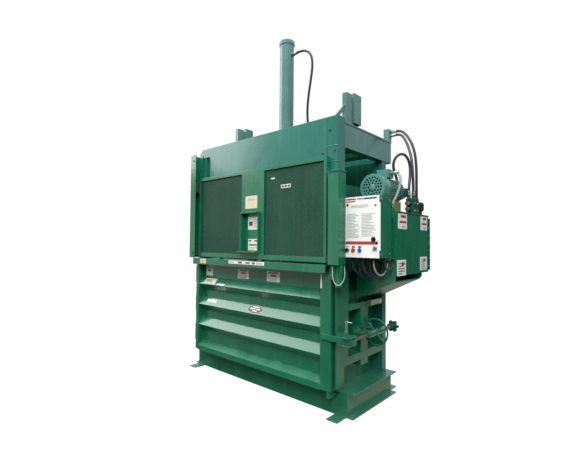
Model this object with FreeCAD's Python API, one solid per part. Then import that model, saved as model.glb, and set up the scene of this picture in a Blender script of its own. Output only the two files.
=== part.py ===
import FreeCAD, Part
import math
import os

# Vertical recycling baler, millimetres. X is across the machine, -Y is the loading side, +Z is up.
# The origin is the centre of the four anchor holes, on the floor.

V = FreeCAD.Vector
os.makedirs("parts", exist_ok=True)

# ---- driving dimensions -------------------------------------------------------------------------
HALF_WIDTH = 1016.0        # header and chamber frame, half the overall width
FRONT_Y = -475.0           # front plane of the header
HEADER_DEPTH = 997.0       # header, front to rear
HEADER_TOP = 2605.0
HEADER_FRONT_BOTTOM = 2222.0
HEADER_SIDE_BOTTOM = 2347.0
CHAMBER_DEPTH = 836.0      # inside, door skin to rear wall
CHAMBER_TOP = 1304.0       # top of the lower side frames
BASE_HALF = HALF_WIDTH + 57     # outside of the base webs
BASE_DEPTH = 804.0
BASE_HEIGHT = 210.0
FLANGE = 58.0              # flange standing out of each base side
COLUMN = 113.0             # upper post width across
COLUMN_Y = 78.0            # column depth
PLATE = 10.0               # structural plate
SKIN = 8.0                 # sheet panels
FIT = 2.0                  # clearance of a sliding frame
RUN = 0.05                 # radial clearance of a shaft in its bore
SEAT = 0.3                 # gap under a part that rests on a stop

ANCHOR_X = HALF_WIDTH - 8       # anchor holes from the centre line
ANCHOR_Y = 495.0
ANCHOR_R = 11.0
TAB_W = 111.0              # foot tab width
TAB_BEYOND = 46.0          # foot tab beyond the hole

STROKE = 1150.0            # ram travel
PLATEN_Z = 1900.0          # underside of the raised platen
PLATEN_H = 146.0
ROD_R = 45.0
BORE_R = 70.0
BARREL_R = 81.0
BARREL_Z = 2400.0
PISTON_H = 60.0
GLAND = 90.0              # rod gland at the foot of the barrel

GATE_HALF = HALF_WIDTH - 80
GATE_FRONT = FRONT_Y - 57.0
GATE_T = 44.0
GATE_BOTTOM = 1317.0
GATE_TOP = 2245.0
GATE_LIFT = 690.0
LOW_SHOE = 68.0            # top of the low right shoe above the gate bottom
WINDOW_IN = 168.0          # mesh window, inner and outer edges
WINDOW_OUT = GATE_HALF - 27
WINDOW_BOTTOM = 1364.0
WINDOW_TOP = 2208.0
MESH_T = 4.0
GUIDE_DEPTH = 107.0
GUIDE_W = 109.0
GUIDE_L_W = 99.0
GUIDE_R_IN = HALF_WIDTH - 27    # mouth of the right guide from the centre line
GUIDE_L_IN = HALF_WIDTH - 70
GUIDE_L_TOP = 2529.0
GUIDE_BOTTOM = 1305.0
SILL_FRONT = FRONT_Y - 110.0
SILL_HALF = HALF_WIDTH - 50
SILL_BOTTOM = 1231.0
SILL_TOP = 1302.0

DOOR_HALF = HALF_WIDTH - 33
DOOR_FRONT = FRONT_Y - 46.0
DOOR_DEPTH = 68.0          # stile front to skin front
DOOR_BOTTOM = 219.0
DOOR_TOP = 1222.0
STILE_R = 113.0
STILE_L = 53.0
RIB_NOSE = (998.0, 759.0, 520.0)
RIB_RISE = 79.0            # rib toe above the nose
RIB_DROP = 76.0            # rib toe below the nose
RIB_T = 9.5
HINGE_X = 4.0 - HALF_WIDTH
HINGE_Y = FRONT_Y - 8.0
HINGE_Z = (420.0, 760.0, 1100.0)
KNUCKLE_R = 20.0
PIN_R = 10.0

LATCH_X = HALF_WIDTH + 141      # latch screw axis, along Y
LATCH_Z = 685.0
SCREW_R = 16.0
LUG_H = 48.0
LUG_T = 16.0
LUG_END = LATCH_X + 60
CLEVIS_GAP = 3.0
LATCH_TRAVEL = 48.0
WHEEL_R = 126.0
WHEEL_Y = -65.0            # middle of the handwheel
RIM_R = 9.0
KNOB_Y = 275.0
DROP_R = 9.0
DROP_TRAVEL = 70.0

TANK_IN = HALF_WIDTH + 14
TANK_OUT = HALF_WIDTH + 384
TANK_Y0 = FRONT_Y + 325.0
TANK_Y1 = FRONT_Y + 1025.0
TANK_Z0 = 1212.0
TANK_Z1 = 1760.0
TANK_WALL = 5.0
BRACKET_T = 12.0

MOTOR_X = HALF_WIDTH + 193
MOTOR_Z = 1980.0
MOTOR_R = 112.0
SHROUD_R = 120.0
MOTOR_Y0 = FRONT_Y + 250.0
MOTOR_Y1 = FRONT_Y + 650.0
SHROUD_L = 110.0
SHAFT_R = 19.0
ROTOR_R = 70.0

BOX_X0 = HALF_WIDTH + 84
BOX_W = 312.0
BOX_D = 210.0
BOX_Z0 = 1371.0
BOX_H = 500.0
BOX_WALL = 4.0
COVER_T = 4.0
BUTTON_R = 14.0
BUTTON_Z = 1431.0
BUTTON_X = (BOX_X0 + 19, BOX_X0 + 76, BOX_X0 + 137)
BUTTON_TRAVEL = 5.0
SELECTOR_X = BOX_X0 + 261
SELECTOR_Z = 1520.0
KEY_X = BOX_X0 + 275
KEY_Z = 1448.0

HOSE_R = 13.0
CONDUIT_R = 11.0
FITTING_R = 17.0
FITTING_L = 28.0

# ---- derived places -----------------------------------------------------------------------------
REAR_Y = FRONT_Y + HEADER_DEPTH
BASE_Y0 = -BASE_DEPTH / 2
BASE_Y1 = BASE_DEPTH / 2
POST_IN = HALF_WIDTH - COLUMN
JAMB = 16.0
LOWER_OUT = HALF_WIDTH - JAMB
SKIN_Y0 = DOOR_FRONT + DOOR_DEPTH
SKIN_Y1 = SKIN_Y0 + SKIN
COL_Y0 = SKIN_Y1 + 4.0
COL_Y1 = COL_Y0 + COLUMN_Y
CHAMBER_Y1 = COL_Y0 + CHAMBER_DEPTH
REAR_COL_Y1 = CHAMBER_Y1 + PLATE
REAR_COL_Y0 = REAR_COL_Y1 - COLUMN_Y
CHAMBER_HALF = POST_IN - PLATE
RAM_Y = (COL_Y0 + CHAMBER_Y1) / 2
FLANGE_OUT = BASE_HALF + FLANGE
BEAM_Z0 = HEADER_SIDE_BOTTOM
BEAM_H = 200.0
BEAM_Z1 = BEAM_Z0 + BEAM_H
BEAM_IN = BARREL_R + 9.0
BEAM_W = 120.0
MOUNT_T = 40.0
PLATEN_HALF = CHAMBER_HALF - 8.0
TANK_PLATE_Y0 = TANK_Y0 - BRACKET_T
BARREL_TOP = BARREL_Z + GLAND + STROKE + PISTON_H + 90
GUIDE_R_TOP = GATE_BOTTOM + LOW_SHOE + GATE_LIFT + 13
LID_Z = TANK_Z1 + 8
PORT_X = HALF_WIDTH + 6 + FITTING_L
PORT_A = (REAR_Y - 34, HEADER_TOP + 25)
PORT_B = (REAR_Y - 22, HEADER_TOP + 67)
BARREL_PORT_Z = BARREL_TOP - 170
VALVE_Z = LID_Z + 150
PUMP_Z = MOTOR_Z + 58
TERMINAL_Y = MOTOR_Y0 + SHROUD_L + 64
TERMINAL_X = MOTOR_X + 90


# ---- shape helpers ------------------------------------------------------------------------------
def block(x0, x1, y0, y1, z0, z1):
    """A box between two corners."""
    return Part.makeBox(x1 - x0, y1 - y0, z1 - z0, V(x0, y0, z0))


def rod(axis, x, y, z, r, length):
    """A cylinder that starts at a point and runs along +X, +Y or +Z."""
    ways = {"x": V(1, 0, 0), "y": V(0, 1, 0), "z": V(0, 0, 1)}
    return Part.makeCylinder(r, length, V(x, y, z), ways[axis])


def tube(axis, x, y, z, r_out, r_in, length):
    """A hollow cylinder."""
    return rod(axis, x, y, z, r_out, length).cut(rod(axis, x, y, z, r_in, length))


def prism(points, way):
    """A polygon of 3-D points pushed along a vector."""
    corners = [V(*p) for p in points]
    return Part.Face(Part.makePolygon(corners + [corners[0]])).extrude(V(*way))


def along_x(outline, x0, x1):
    """A (y, z) outline from x0 to x1."""
    return prism([(x0, y, z) for y, z in outline], (x1 - x0, 0, 0))


def along_y(outline, y0, y1):
    """An (x, z) outline from y0 to y1."""
    return prism([(x, y0, z) for x, z in outline], (0, y1 - y0, 0))


def along_z(outline, z0, z1):
    """An (x, y) outline from z0 to z1."""
    return prism([(x, y, z0) for x, y in outline], (0, 0, z1 - z0))


def box_tube(x0, x1, y0, y1, z0, z1, wall, axis="z"):
    """A rectangular hollow section, open at both ends along its axis."""
    lo = [x0 + wall, y0 + wall, z0 + wall]
    hi = [x1 - wall, y1 - wall, z1 - wall]
    i = "xyz".index(axis)
    lo[i] = (x0, y0, z0)[i]
    hi[i] = (x1, y1, z1)[i]
    return block(x0, x1, y0, y1, z0, z1).cut(block(lo[0], hi[0], lo[1], hi[1], lo[2], hi[2]))


def joined(*solids):
    """Welded or one-piece: a single solid."""
    shape = solids[0].fuse(list(solids[1:])) if len(solids) > 1 else solids[0]
    return shape.removeSplitter()


def fitting(axis, x, y, z):
    """A hose fitting that ends in a flat mouth."""
    return rod(axis, x, y, z, FITTING_R, FITTING_L)


def mirrored(shape):
    """The same piece on the other side of the centre line."""
    return shape.mirror(V(0, 0, 0), V(1, 0, 0))


def save(node, *solids):
    """One STEP file per sub-part."""
    shape = solids[0] if len(solids) == 1 else Part.makeCompound(list(solids))
    shape.exportStep("parts/" + node + ".step")


# ---- base ---------------------------------------------------------------------------------------
def base():
    top = BASE_HEIGHT - PLATE
    web = block(BASE_HALF - PLATE, BASE_HALF, BASE_Y0, BASE_Y1, 0, top)
    toe = block(BASE_HALF - PLATE, FLANGE_OUT, BASE_Y0, BASE_Y1, 0, PLATE)
    side = joined(web, toe)
    inner = BASE_HALF - PLATE
    front = joined(
        block(-inner, inner, BASE_Y0, BASE_Y0 + PLATE, 0, top),
        block(-inner, inner, BASE_Y0, BASE_Y0 + FLANGE, 0, PLATE),
    )
    rear = joined(
        block(-inner, inner, BASE_Y1 - PLATE, BASE_Y1, 0, top),
        block(-inner, inner, BASE_Y1 - FLANGE, BASE_Y1, 0, PLATE),
    )
    joists = []
    for x in (-inner / 3, inner / 3):
        joists.append(box_tube(x - 50, x + 50, BASE_Y0 + PLATE, BASE_Y1 - PLATE, PLATE, top, 6, "y"))
    save("deck_plate", block(-FLANGE_OUT, FLANGE_OUT, BASE_Y0, BASE_Y1, top, BASE_HEIGHT))

    tabs = []
    for sx in (-1, 1):
        for sy in (-1, 1):
            x = sx * ANCHOR_X
            y0, y1 = sorted((sy * BASE_Y1, sy * (ANCHOR_Y + TAB_BEYOND)))
            tab = block(x - TAB_W / 2, x + TAB_W / 2, y0, y1, 0, PLATE)
            tabs.append(tab.cut(rod("z", x, sy * ANCHOR_Y, 0, ANCHOR_R, PLATE)))
    x0, x1 = DOOR_HALF - 48, DOOR_HALF - 17
    rest = joined(
        block(x0, x1, DOOR_FRONT + 6, BASE_Y0, 165, top - 2),
        block(x0, x1, DOOR_FRONT + 6, COL_Y0 - 2, top - 2, DOOR_BOTTOM + 7 - SEAT),
    )
    save("base_frame", side, mirrored(side), front, rear, rest, *joists, *tabs)


# ---- columns and chamber walls ------------------------------------------------------------------
def columns():
    low = box_tube(POST_IN, LOWER_OUT, COL_Y0, COL_Y1, BASE_HEIGHT, CHAMBER_TOP, 8)
    save("column_front_right", low)
    save("column_front_left", mirrored(low))
    top = HEADER_SIDE_BOTTOM - PLATE
    rear = box_tube(POST_IN, HALF_WIDTH, REAR_COL_Y0, REAR_COL_Y1, BASE_HEIGHT, top, 8)
    save("column_rear_right", rear)
    save("column_rear_left", mirrored(rear))
    upper = box_tube(POST_IN, HALF_WIDTH, FRONT_Y, COL_Y1, CHAMBER_TOP, HEADER_TOP, 8)
    lid = block(POST_IN, HALF_WIDTH, FRONT_Y, COL_Y1, HEADER_TOP - 8, HEADER_TOP)
    save("post_upper_right", joined(upper, lid))
    left = box_tube(-HALF_WIDTH, -POST_IN, FRONT_Y, COL_Y1, CHAMBER_TOP, HEADER_FRONT_BOTTOM, 8)
    left_top = box_tube(
        -HALF_WIDTH, -POST_IN, FRONT_Y + PLATE, COL_Y1, HEADER_FRONT_BOTTOM, HEADER_TOP - 60, 8,
    )
    top = HEADER_TOP - 60
    left_lid = block(-HALF_WIDTH, -POST_IN, FRONT_Y + PLATE, COL_Y1, top - 8, top)
    save("post_upper_left", joined(left, left_top, left_lid))


RAIL_TOP = (1240.0, CHAMBER_TOP)
RAIL_UP = (887.0, 940.0)
RAIL_LOW = (412.0, 484.0)
POST_FRONT = (COL_Y1 - 9.0, COL_Y1 + 64.0)
POST_MID = (FRONT_Y + 385.0, FRONT_Y + 515.0)


def side_wall():
    """Skin, three rails and the short posts between them, right side."""
    skin = block(CHAMBER_HALF, POST_IN, COL_Y0, REAR_COL_Y1, BASE_HEIGHT, CHAMBER_TOP)
    rails = []
    for z0, z1 in (RAIL_TOP, RAIL_UP, RAIL_LOW):
        rails.append(box_tube(POST_IN, HALF_WIDTH, COL_Y1, REAR_COL_Y0, z0, z1, 6, "y"))
    y0 = COL_Y1
    posts = [
        box_tube(POST_IN, HALF_WIDTH, y0, POST_FRONT[1], RAIL_LOW[1], RAIL_UP[0], 6),
        box_tube(POST_IN, HALF_WIDTH, y0, POST_FRONT[1], RAIL_UP[1], RAIL_TOP[0], 6),
        box_tube(POST_IN, HALF_WIDTH, POST_MID[0], POST_MID[1], RAIL_LOW[1], RAIL_UP[0], 6),
        box_tube(POST_IN, HALF_WIDTH, POST_MID[0], POST_MID[1], RAIL_LOW[0] - 54, RAIL_LOW[0], 6),
    ]
    return [skin] + rails + posts


def walls():
    right = side_wall()
    save("side_wall_right", *right)
    save("side_wall_left", *[mirrored(s) for s in right])
    wall = block(-CHAMBER_HALF, CHAMBER_HALF, CHAMBER_Y1, REAR_COL_Y1, BASE_HEIGHT, HEADER_SIDE_BOTTOM)
    ribs = []
    for z in (RAIL_LOW[0], RAIL_UP[0], RAIL_TOP[0], 1700.0):
        ribs.append(box_tube(-CHAMBER_HALF, CHAMBER_HALF, REAR_COL_Y1, REAR_COL_Y1 + 60, z, z + 64, 6, "x"))
    save("rear_wall", wall, *ribs)
    jamb = block(LOWER_OUT, HALF_WIDTH, FRONT_Y - 12, COL_Y1, BASE_HEIGHT + 35, CHAMBER_TOP)
    save("jamb_right", jamb)


# ---- header -------------------------------------------------------------------------------------
def header():
    top = HEADER_TOP
    bottom = HEADER_FRONT_BOTTOM
    outline = [
        (-HALF_WIDTH, bottom), (POST_IN, bottom), (POST_IN, top),
        (-HALF_WIDTH + 47, top), (-HALF_WIDTH, top - 56),
    ]
    plate = along_y(outline, FRONT_Y, FRONT_Y + PLATE)
    plate = plate.cut(block(16 - HALF_WIDTH, 201 - HALF_WIDTH, FRONT_Y, FRONT_Y + PLATE, 2256, 2502))
    lip = block(-POST_IN, POST_IN, FRONT_Y + PLATE, FRONT_Y + 90, bottom, bottom + PLATE)
    save("header_front", joined(plate, lip))

    side = joined(
        block(HALF_WIDTH - PLATE, HALF_WIDTH, COL_Y1, REAR_Y - PLATE, HEADER_SIDE_BOTTOM, top - 51),
        block(HALF_WIDTH - 76, HALF_WIDTH + 4, COL_Y1, REAR_Y - PLATE, HEADER_SIDE_BOTTOM - PLATE,
              HEADER_SIDE_BOTTOM),
    )
    cap = joined(
        block(HALF_WIDTH - 64, HALF_WIDTH + 6, COL_Y1, REAR_Y, top - 51, top - 41),
        block(HALF_WIDTH - 64, HALF_WIDTH - 54, COL_Y1, REAR_Y, top - 41, top),
    )
    x0, y0, z0 = HALF_WIDTH - 54, REAR_Y - 64, top - 41
    manifold = block(x0, HALF_WIDTH + 6, y0, REAR_Y, z0, z0 + 134)
    ports = [fitting("x", PORT_X - FITTING_L, y, z) for y, z in (PORT_A, PORT_B)]
    save("header_side_right", side, cap, manifold, *ports)
    save("header_side_left", mirrored(side), mirrored(cap))
    rear = block(-HALF_WIDTH, HALF_WIDTH, REAR_Y - PLATE, REAR_Y, HEADER_SIDE_BOTTOM - PLATE, top - 51)
    save("header_rear", rear)

    half = HALF_WIDTH - PLATE
    beams = []
    for sy in (-1, 1):
        y0, y1 = sorted((RAM_Y + sy * BEAM_IN, RAM_Y + sy * (BEAM_IN + BEAM_W)))
        beams.append(box_tube(-half, half, y0, y1, BEAM_Z0, BEAM_Z1, 10, "x"))
    return beams


def lift_bracket(x, y, z, height, brace):
    """A lifting post: a channel with two slots in its outer face, its foot and a (y, z) brace."""
    post = box_tube(x - 25, x + 25, y - 40, y + 40, z + PLATE, z + height, 6)
    foot = block(x - 26, x + 34, y - 60, y + 60, z, z + PLATE)
    link = block(x - 5, x + 5, y + 40, y + 80, z + PLATE, z + height - 8)
    face = box_tube(x - 25, x + 29, y + 80, y + 200, z + 32, z + height + 25, 8)
    for dz in (60, height - 40):
        face = face.cut(block(x + 15, x + 35, y + 170, y + 185, z + dz, z + dz + 34))
    return joined(post, foot, link, face, along_x(brace, x - 4, x + 4))


def brackets():
    y = FRONT_Y + 184
    top = HEADER_TOP
    strut = [(FRONT_Y, top), (FRONT_Y + 50, top), (y - 40, top + 90), (y - 40, top + 140)]
    right = lift_bracket(HALF_WIDTH - 28, y, top - 41, 285, strut)
    y = RAM_Y - BEAM_IN - BEAM_W / 2
    z = BEAM_Z1 + PLATE
    gusset = [(y - 60, z), (y - 40, z), (y - 40, z + 90)]
    left = lift_bracket(-640, y, BEAM_Z1, 320, gusset)
    save("lift_brackets", right, left)


# ---- press cylinder, ram and platen ---------------------------------------------------------------
def press(beams):
    length = BARREL_TOP - BARREL_Z
    barrel = rod("z", 0, RAM_Y, BARREL_Z, BARREL_R, length)
    barrel = barrel.cut(rod("z", 0, RAM_Y, BARREL_Z + GLAND, BORE_R, length - GLAND - 30))
    barrel = barrel.cut(rod("z", 0, RAM_Y, BARREL_Z, ROD_R + RUN, GLAND))
    port = rod("x", BARREL_R - 4, RAM_Y, BARREL_PORT_Z, 22, 36)
    port = port.cut(rod("x", BARREL_R - 4, RAM_Y, BARREL_PORT_Z, 9, 36))
    cap = rod("z", 0, RAM_Y, BARREL_TOP - 48, BARREL_R + 7, 40)
    cap = cap.cut(rod("z", 0, RAM_Y, BARREL_TOP - 48, BARREL_R - 4, 40))
    save("cylinder_barrel", joined(barrel, port, cap))

    half = BEAM_IN + BEAM_W
    plate = block(-half, half, RAM_Y - half, RAM_Y + half, BEAM_Z1, BEAM_Z1 + MOUNT_T)
    plate = plate.cut(rod("z", 0, RAM_Y, BEAM_Z1, BARREL_R, MOUNT_T))
    boss = fitting("z", 236, RAM_Y + BEAM_IN + 45, BEAM_Z1)
    save("crown_beams", plate, boss, *beams)

    platen_top = PLATEN_Z + PLATEN_H
    piston_z = BARREL_TOP - 30 - 20 - PISTON_H
    shaft = rod("z", 0, RAM_Y, platen_top, ROD_R, piston_z - platen_top)
    foot = rod("z", 0, RAM_Y, platen_top, ROD_R + 45, 30)
    piston = rod("z", 0, RAM_Y, piston_z, BORE_R - RUN, PISTON_H)
    save("ram_rod", joined(shaft, foot), piston)

    y0 = COL_Y0 + 10
    y1 = CHAMBER_Y1 - 10
    plate = block(-PLATEN_HALF, PLATEN_HALF, y0, y1, PLATEN_Z, PLATEN_Z + 16)
    z0 = PLATEN_Z + 16
    tubes = []
    for y in (y0 + 60, RAM_Y, y1 - 60):
        tubes.append(box_tube(-PLATEN_HALF + 40, PLATEN_HALF - 40, y - 50, y + 50, z0, platen_top, 8, "x"))
    for sx in (-1, 1):
        x0, x1 = sorted((sx * (PLATEN_HALF - 40), sx * PLATEN_HALF))
        tubes.append(box_tube(x0, x1, y0, y1, z0, platen_top, 8, "y"))
    save("platen", plate, *tubes)


# ---- feed gate, guides and sill -------------------------------------------------------------------
def gate():
    y0 = GATE_FRONT
    y1 = GATE_FRONT + GATE_T
    frame = block(-GATE_HALF, GATE_HALF, y0, y1, GATE_BOTTOM, GATE_TOP)
    frame = frame.cut(block(-WINDOW_OUT, WINDOW_OUT, y0, y1, WINDOW_BOTTOM, WINDOW_TOP))
    panel = block(-WINDOW_IN, WINDOW_IN, y0, y0 + 30, WINDOW_BOTTOM, WINDOW_TOP)
    save("gate_frame", joined(frame, panel))

    mesh_y = y0 + 12
    left = block(-WINDOW_OUT, -WINDOW_IN, mesh_y, mesh_y + MESH_T, WINDOW_BOTTOM, WINDOW_TOP)
    save("gate_mesh", left, mirrored(left))

    depth = 60.0
    handle = joined(
        block(-125, 117, y0 - depth, y0, 1785, 1797),
        block(-181, 109, y0 - depth, y0, 1385, 1395),
        block(-125, -115, y0 - depth, y0, 1395, 1785),
        block(107, 117, y0 - 30, y0, 1385, 1785),
    )
    save("gate_handle", handle)

    flange = 8.0
    shoe_y0 = FRONT_Y - GUIDE_DEPTH + flange + 1.5
    shoe_y1 = FRONT_Y - flange - 1.5
    shoes = []
    left_end = -(GUIDE_L_IN + GUIDE_L_W - flange - FIT)
    for z0, z1 in ((GATE_BOTTOM + 13, GATE_BOTTOM + 133), (GATE_TOP - 165, GATE_TOP - 45)):
        head = block(left_end, -GUIDE_L_IN - 4, shoe_y0, shoe_y1, z0, z1)
        neck = block(-GUIDE_L_IN - 4, -GATE_HALF, y0 + 8, y1 - 8, z0, z1)
        shoes.append(joined(head, neck))
    z0 = GATE_BOTTOM + 13
    z1 = GATE_BOTTOM + LOW_SHOE
    right_end = GUIDE_R_IN + GUIDE_W - flange - FIT
    head = block(GUIDE_R_IN + 4, right_end, shoe_y0, shoe_y1, z0, z1)
    neck = block(GATE_HALF, GUIDE_R_IN + 4, y0 + 8, y1 - 8, z0, z1)
    shoes.append(joined(head, neck))
    save("gate_shoes", *shoes)


def guide(mouth, width, z0, z1):
    """A channel open towards the gate: the mouth's X, the width away from it and two heights."""
    t = 8.0
    y0 = FRONT_Y - GUIDE_DEPTH
    y1 = FRONT_Y
    x0 = mouth
    x1 = mouth + width
    return joined(
        block(x1 - t, x1, y0, y1, z0, z1),
        block(x0, x1, y0, y0 + t, z0, z1),
        block(x0, x1, y1 - t, y1, z0, z1),
    )


def guides():
    cap_h = 10.0
    right = guide(GUIDE_R_IN, GUIDE_W, GUIDE_BOTTOM, GUIDE_R_TOP)
    cap = block(GUIDE_R_IN - 9, GUIDE_R_IN + GUIDE_W + 6, FRONT_Y - GUIDE_DEPTH - 6, FRONT_Y,
                GUIDE_R_TOP, GUIDE_R_TOP + cap_h)
    save("gate_guide_right", joined(right, cap))
    save("gate_guide_left", mirrored(guide(GUIDE_L_IN, GUIDE_L_W, GUIDE_BOTTOM, GUIDE_L_TOP)))

    t = 8.0
    sill = joined(
        block(-SILL_HALF, SILL_HALF, SILL_FRONT, SILL_FRONT + t, SILL_BOTTOM, SILL_TOP),
        block(-SILL_HALF, SILL_HALF, SILL_FRONT, COL_Y0, SILL_TOP - t, SILL_TOP),
        block(-SILL_HALF, SILL_HALF, SILL_FRONT, SILL_FRONT + 60, SILL_BOTTOM, SILL_BOTTOM + t),
    )
    rests = []
    y0, y1 = GATE_FRONT - 4, GATE_FRONT + GATE_T
    for x in (-545.0, 115.0):
        rests.append(block(x - 24, x + 24, y0, y1, SILL_TOP, GATE_BOTTOM - SEAT))
    save("feed_sill", sill, *rests)


# ---- bale door -------------------------------------------------------------------------------------
def rib(nose):
    """An angle with its corner outward, as a (y, z) outline, between the stiles."""
    y0 = DOOR_FRONT
    y1 = SKIN_Y0
    t = RIB_T * 1.5
    outline = [
        (y1, nose + RIB_RISE), (y0, nose), (y1, nose - RIB_DROP),
        (y1, nose - RIB_DROP + t), (y0 + t, nose), (y1, nose + RIB_RISE - t),
    ]
    return along_x(outline, -DOOR_HALF + STILE_L, DOOR_HALF - STILE_R)


def door():
    z0 = DOOR_BOTTOM + 7
    skin = block(-DOOR_HALF, DOOR_HALF, SKIN_Y0, SKIN_Y1, z0, DOOR_TOP)
    save("door_skin", skin)
    right = box_tube(DOOR_HALF - STILE_R, DOOR_HALF, DOOR_FRONT, SKIN_Y0, z0, DOOR_TOP, 6)
    left = box_tube(-DOOR_HALF, -DOOR_HALF + STILE_L, DOOR_FRONT, SKIN_Y0, z0, DOOR_TOP, 6)
    t = RIB_T
    lip = along_x(
        [(SKIN_Y0, 319), (DOOR_FRONT, 277), (DOOR_FRONT, DOOR_BOTTOM), (DOOR_FRONT + t, DOOR_BOTTOM),
         (DOOR_FRONT + t, 277 - t * 0.6), (SKIN_Y0, 319 - t * 1.2)],
        -DOOR_HALF + STILE_L, DOOR_HALF - STILE_R,
    )
    save("door_ribs", right, left, lip, *[rib(n) for n in RIB_NOSE])
    lug = block(DOOR_HALF - STILE_R + 10, LUG_END, DOOR_FRONT - LUG_T, DOOR_FRONT,
                LATCH_Z - LUG_H / 2, LATCH_Z + LUG_H / 2)
    tab = block(SILL_HALF + 6, SILL_HALF + 61, DOOR_FRONT - 12, DOOR_FRONT, DOOR_TOP - 46, CHAMBER_TOP - 13)
    save("latch_lug", lug, tab)

    jamb_front = COL_Y0
    jamb = block(HINGE_X - 24, -LOWER_OUT, jamb_front, COL_Y1, BASE_HEIGHT + 35, CHAMBER_TOP)
    fixed = [jamb]
    moving = []
    pins = []
    h = 60.0
    gap = 0.5
    for z in HINGE_Z:
        mid = tube("z", HINGE_X, HINGE_Y, z - h / 2, KNUCKLE_R, PIN_R, h)
        leaf = block(HINGE_X, -DOOR_HALF, HINGE_Y - 8, HINGE_Y + 8, z - h / 2, z + h / 2)
        moving.append(joined(mid, leaf.cut(rod("z", HINGE_X, HINGE_Y, z - h / 2, KNUCKLE_R - 2, h))))
        for z0 in (z - h * 1.5 - gap, z + h / 2 + gap):
            ear = tube("z", HINGE_X, HINGE_Y, z0, KNUCKLE_R, PIN_R + RUN, h)
            leaf = block(HINGE_X - 14, HINGE_X + 14, HINGE_Y + 8, jamb_front, z0, z0 + h)
            fixed.append(joined(ear, leaf.cut(rod("z", HINGE_X, HINGE_Y, z0, KNUCKLE_R - 2, h))))
        pin = rod("z", HINGE_X, HINGE_Y, z - h * 1.5 - gap, PIN_R, 3 * h + 2 * gap)
        head = rod("z", HINGE_X, HINGE_Y, z + h * 1.5 + gap + SEAT, PIN_R + 5, 8)
        pins.append(joined(pin, rod("z", HINGE_X, HINGE_Y, z + h * 1.5 + gap, PIN_R, SEAT + 8), head))
    save("hinge_jamb", *fixed)
    save("hinge_pins", *moving, *pins)


# ---- door latch -------------------------------------------------------------------------------------
CLEVIS_Y0 = DOOR_FRONT - LUG_T - 34
SLOT_END = DOOR_FRONT + LATCH_TRAVEL + 4
CLEVIS_Y1 = SLOT_END + 26
CHEEK = 12.0
ARM_FRONT = (FRONT_Y + 250.0, FRONT_Y + 350.0)
ARM_REAR = (FRONT_Y + 470.0, FRONT_Y + 570.0)
SCREW_Y1 = KNOB_Y + 30.0


def latch():
    x, z = LATCH_X, LATCH_Z
    yoke = block(HALF_WIDTH, HALF_WIDTH + PLATE, ARM_FRONT[0], ARM_REAR[1], z - 45, z + 45)
    for y0, y1 in (ARM_FRONT, ARM_REAR):
        arm = block(HALF_WIDTH + PLATE, x, y0, y1, z - 8, z + 8)
        yoke = yoke.fuse([arm, rod("y", x, y0, z, 30, y1 - y0)])
    yoke = yoke.cut(rod("y", x, ARM_FRONT[0], z, SCREW_R + RUN, ARM_REAR[1] - ARM_FRONT[0]))
    save("latch_yoke", yoke.removeSplitter())

    screw = rod("y", x, CLEVIS_Y1, z, SCREW_R, SCREW_Y1 - CLEVIS_Y1)

    half = LUG_H / 2 + CLEVIS_GAP
    outer = half + CHEEK
    x0, x1 = x - 32, x + 32
    clevis = block(x0, x1, CLEVIS_Y0, CLEVIS_Y1, z - outer, z + outer)
    clevis = clevis.cut(block(x0, x1, CLEVIS_Y0, SLOT_END, z - half, z + half))
    pin_y = DOOR_FRONT - LUG_T - DROP_R - 4
    boss = 46.0
    clevis = clevis.fuse(rod("z", x, pin_y, z + outer, DROP_R + 9, boss))
    clevis = clevis.cut(rod("z", x, pin_y, z - outer, DROP_R + RUN, 2 * outer + boss))
    save("latch_clevis", clevis.removeSplitter())

    z0 = z + half + 2
    grip_z = z + outer + boss + DROP_TRAVEL + 8
    pin = rod("z", x, pin_y, z0, DROP_R, grip_z + 8 - z0)
    grip = rod("x", x, pin_y, grip_z, 6, 52)
    save("drop_pin", joined(pin, grip))

    hub = tube("y", x, ARM_FRONT[1] + 1, z, 28, SCREW_R + RUN, ARM_REAR[0] - ARM_FRONT[1] - 2)
    rim = Part.makeTorus(WHEEL_R - RIM_R, RIM_R, V(x, WHEEL_Y, z), V(0, 1, 0))
    wheel = [hub, rim]
    for k in range(4):
        spoke = rod("z", x, WHEEL_Y, z + 24, 7, WHEEL_R - RIM_R - 26)
        spoke.rotate(V(x, WHEEL_Y, z), V(0, 1, 0), 45 + 90 * k)
        wheel.append(spoke)
    save("latch_handwheel", joined(*wheel))

    lobes = rod("y", x, KNOB_Y - 15, z, 40, 30)
    for k in range(6):
        a = math.radians(60 * k)
        lobes = lobes.fuse(rod("y", x + 42 * math.cos(a), KNOB_Y - 15, z + 42 * math.sin(a), 16, 30))
    lobes = lobes.fuse(rod("y", x, KNOB_Y - 60, z, 24, 45))
    lobes = lobes.cut(rod("y", x, KNOB_Y - 60, z, SCREW_R + RUN, 75))
    save("lock_knob", lobes.removeSplitter())
    nut = rod("y", x, KNOB_Y + 16, z, 28, 12).cut(rod("y", x, KNOB_Y + 16, z, SCREW_R, 12))
    save("latch_screw", screw, nut)


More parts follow.
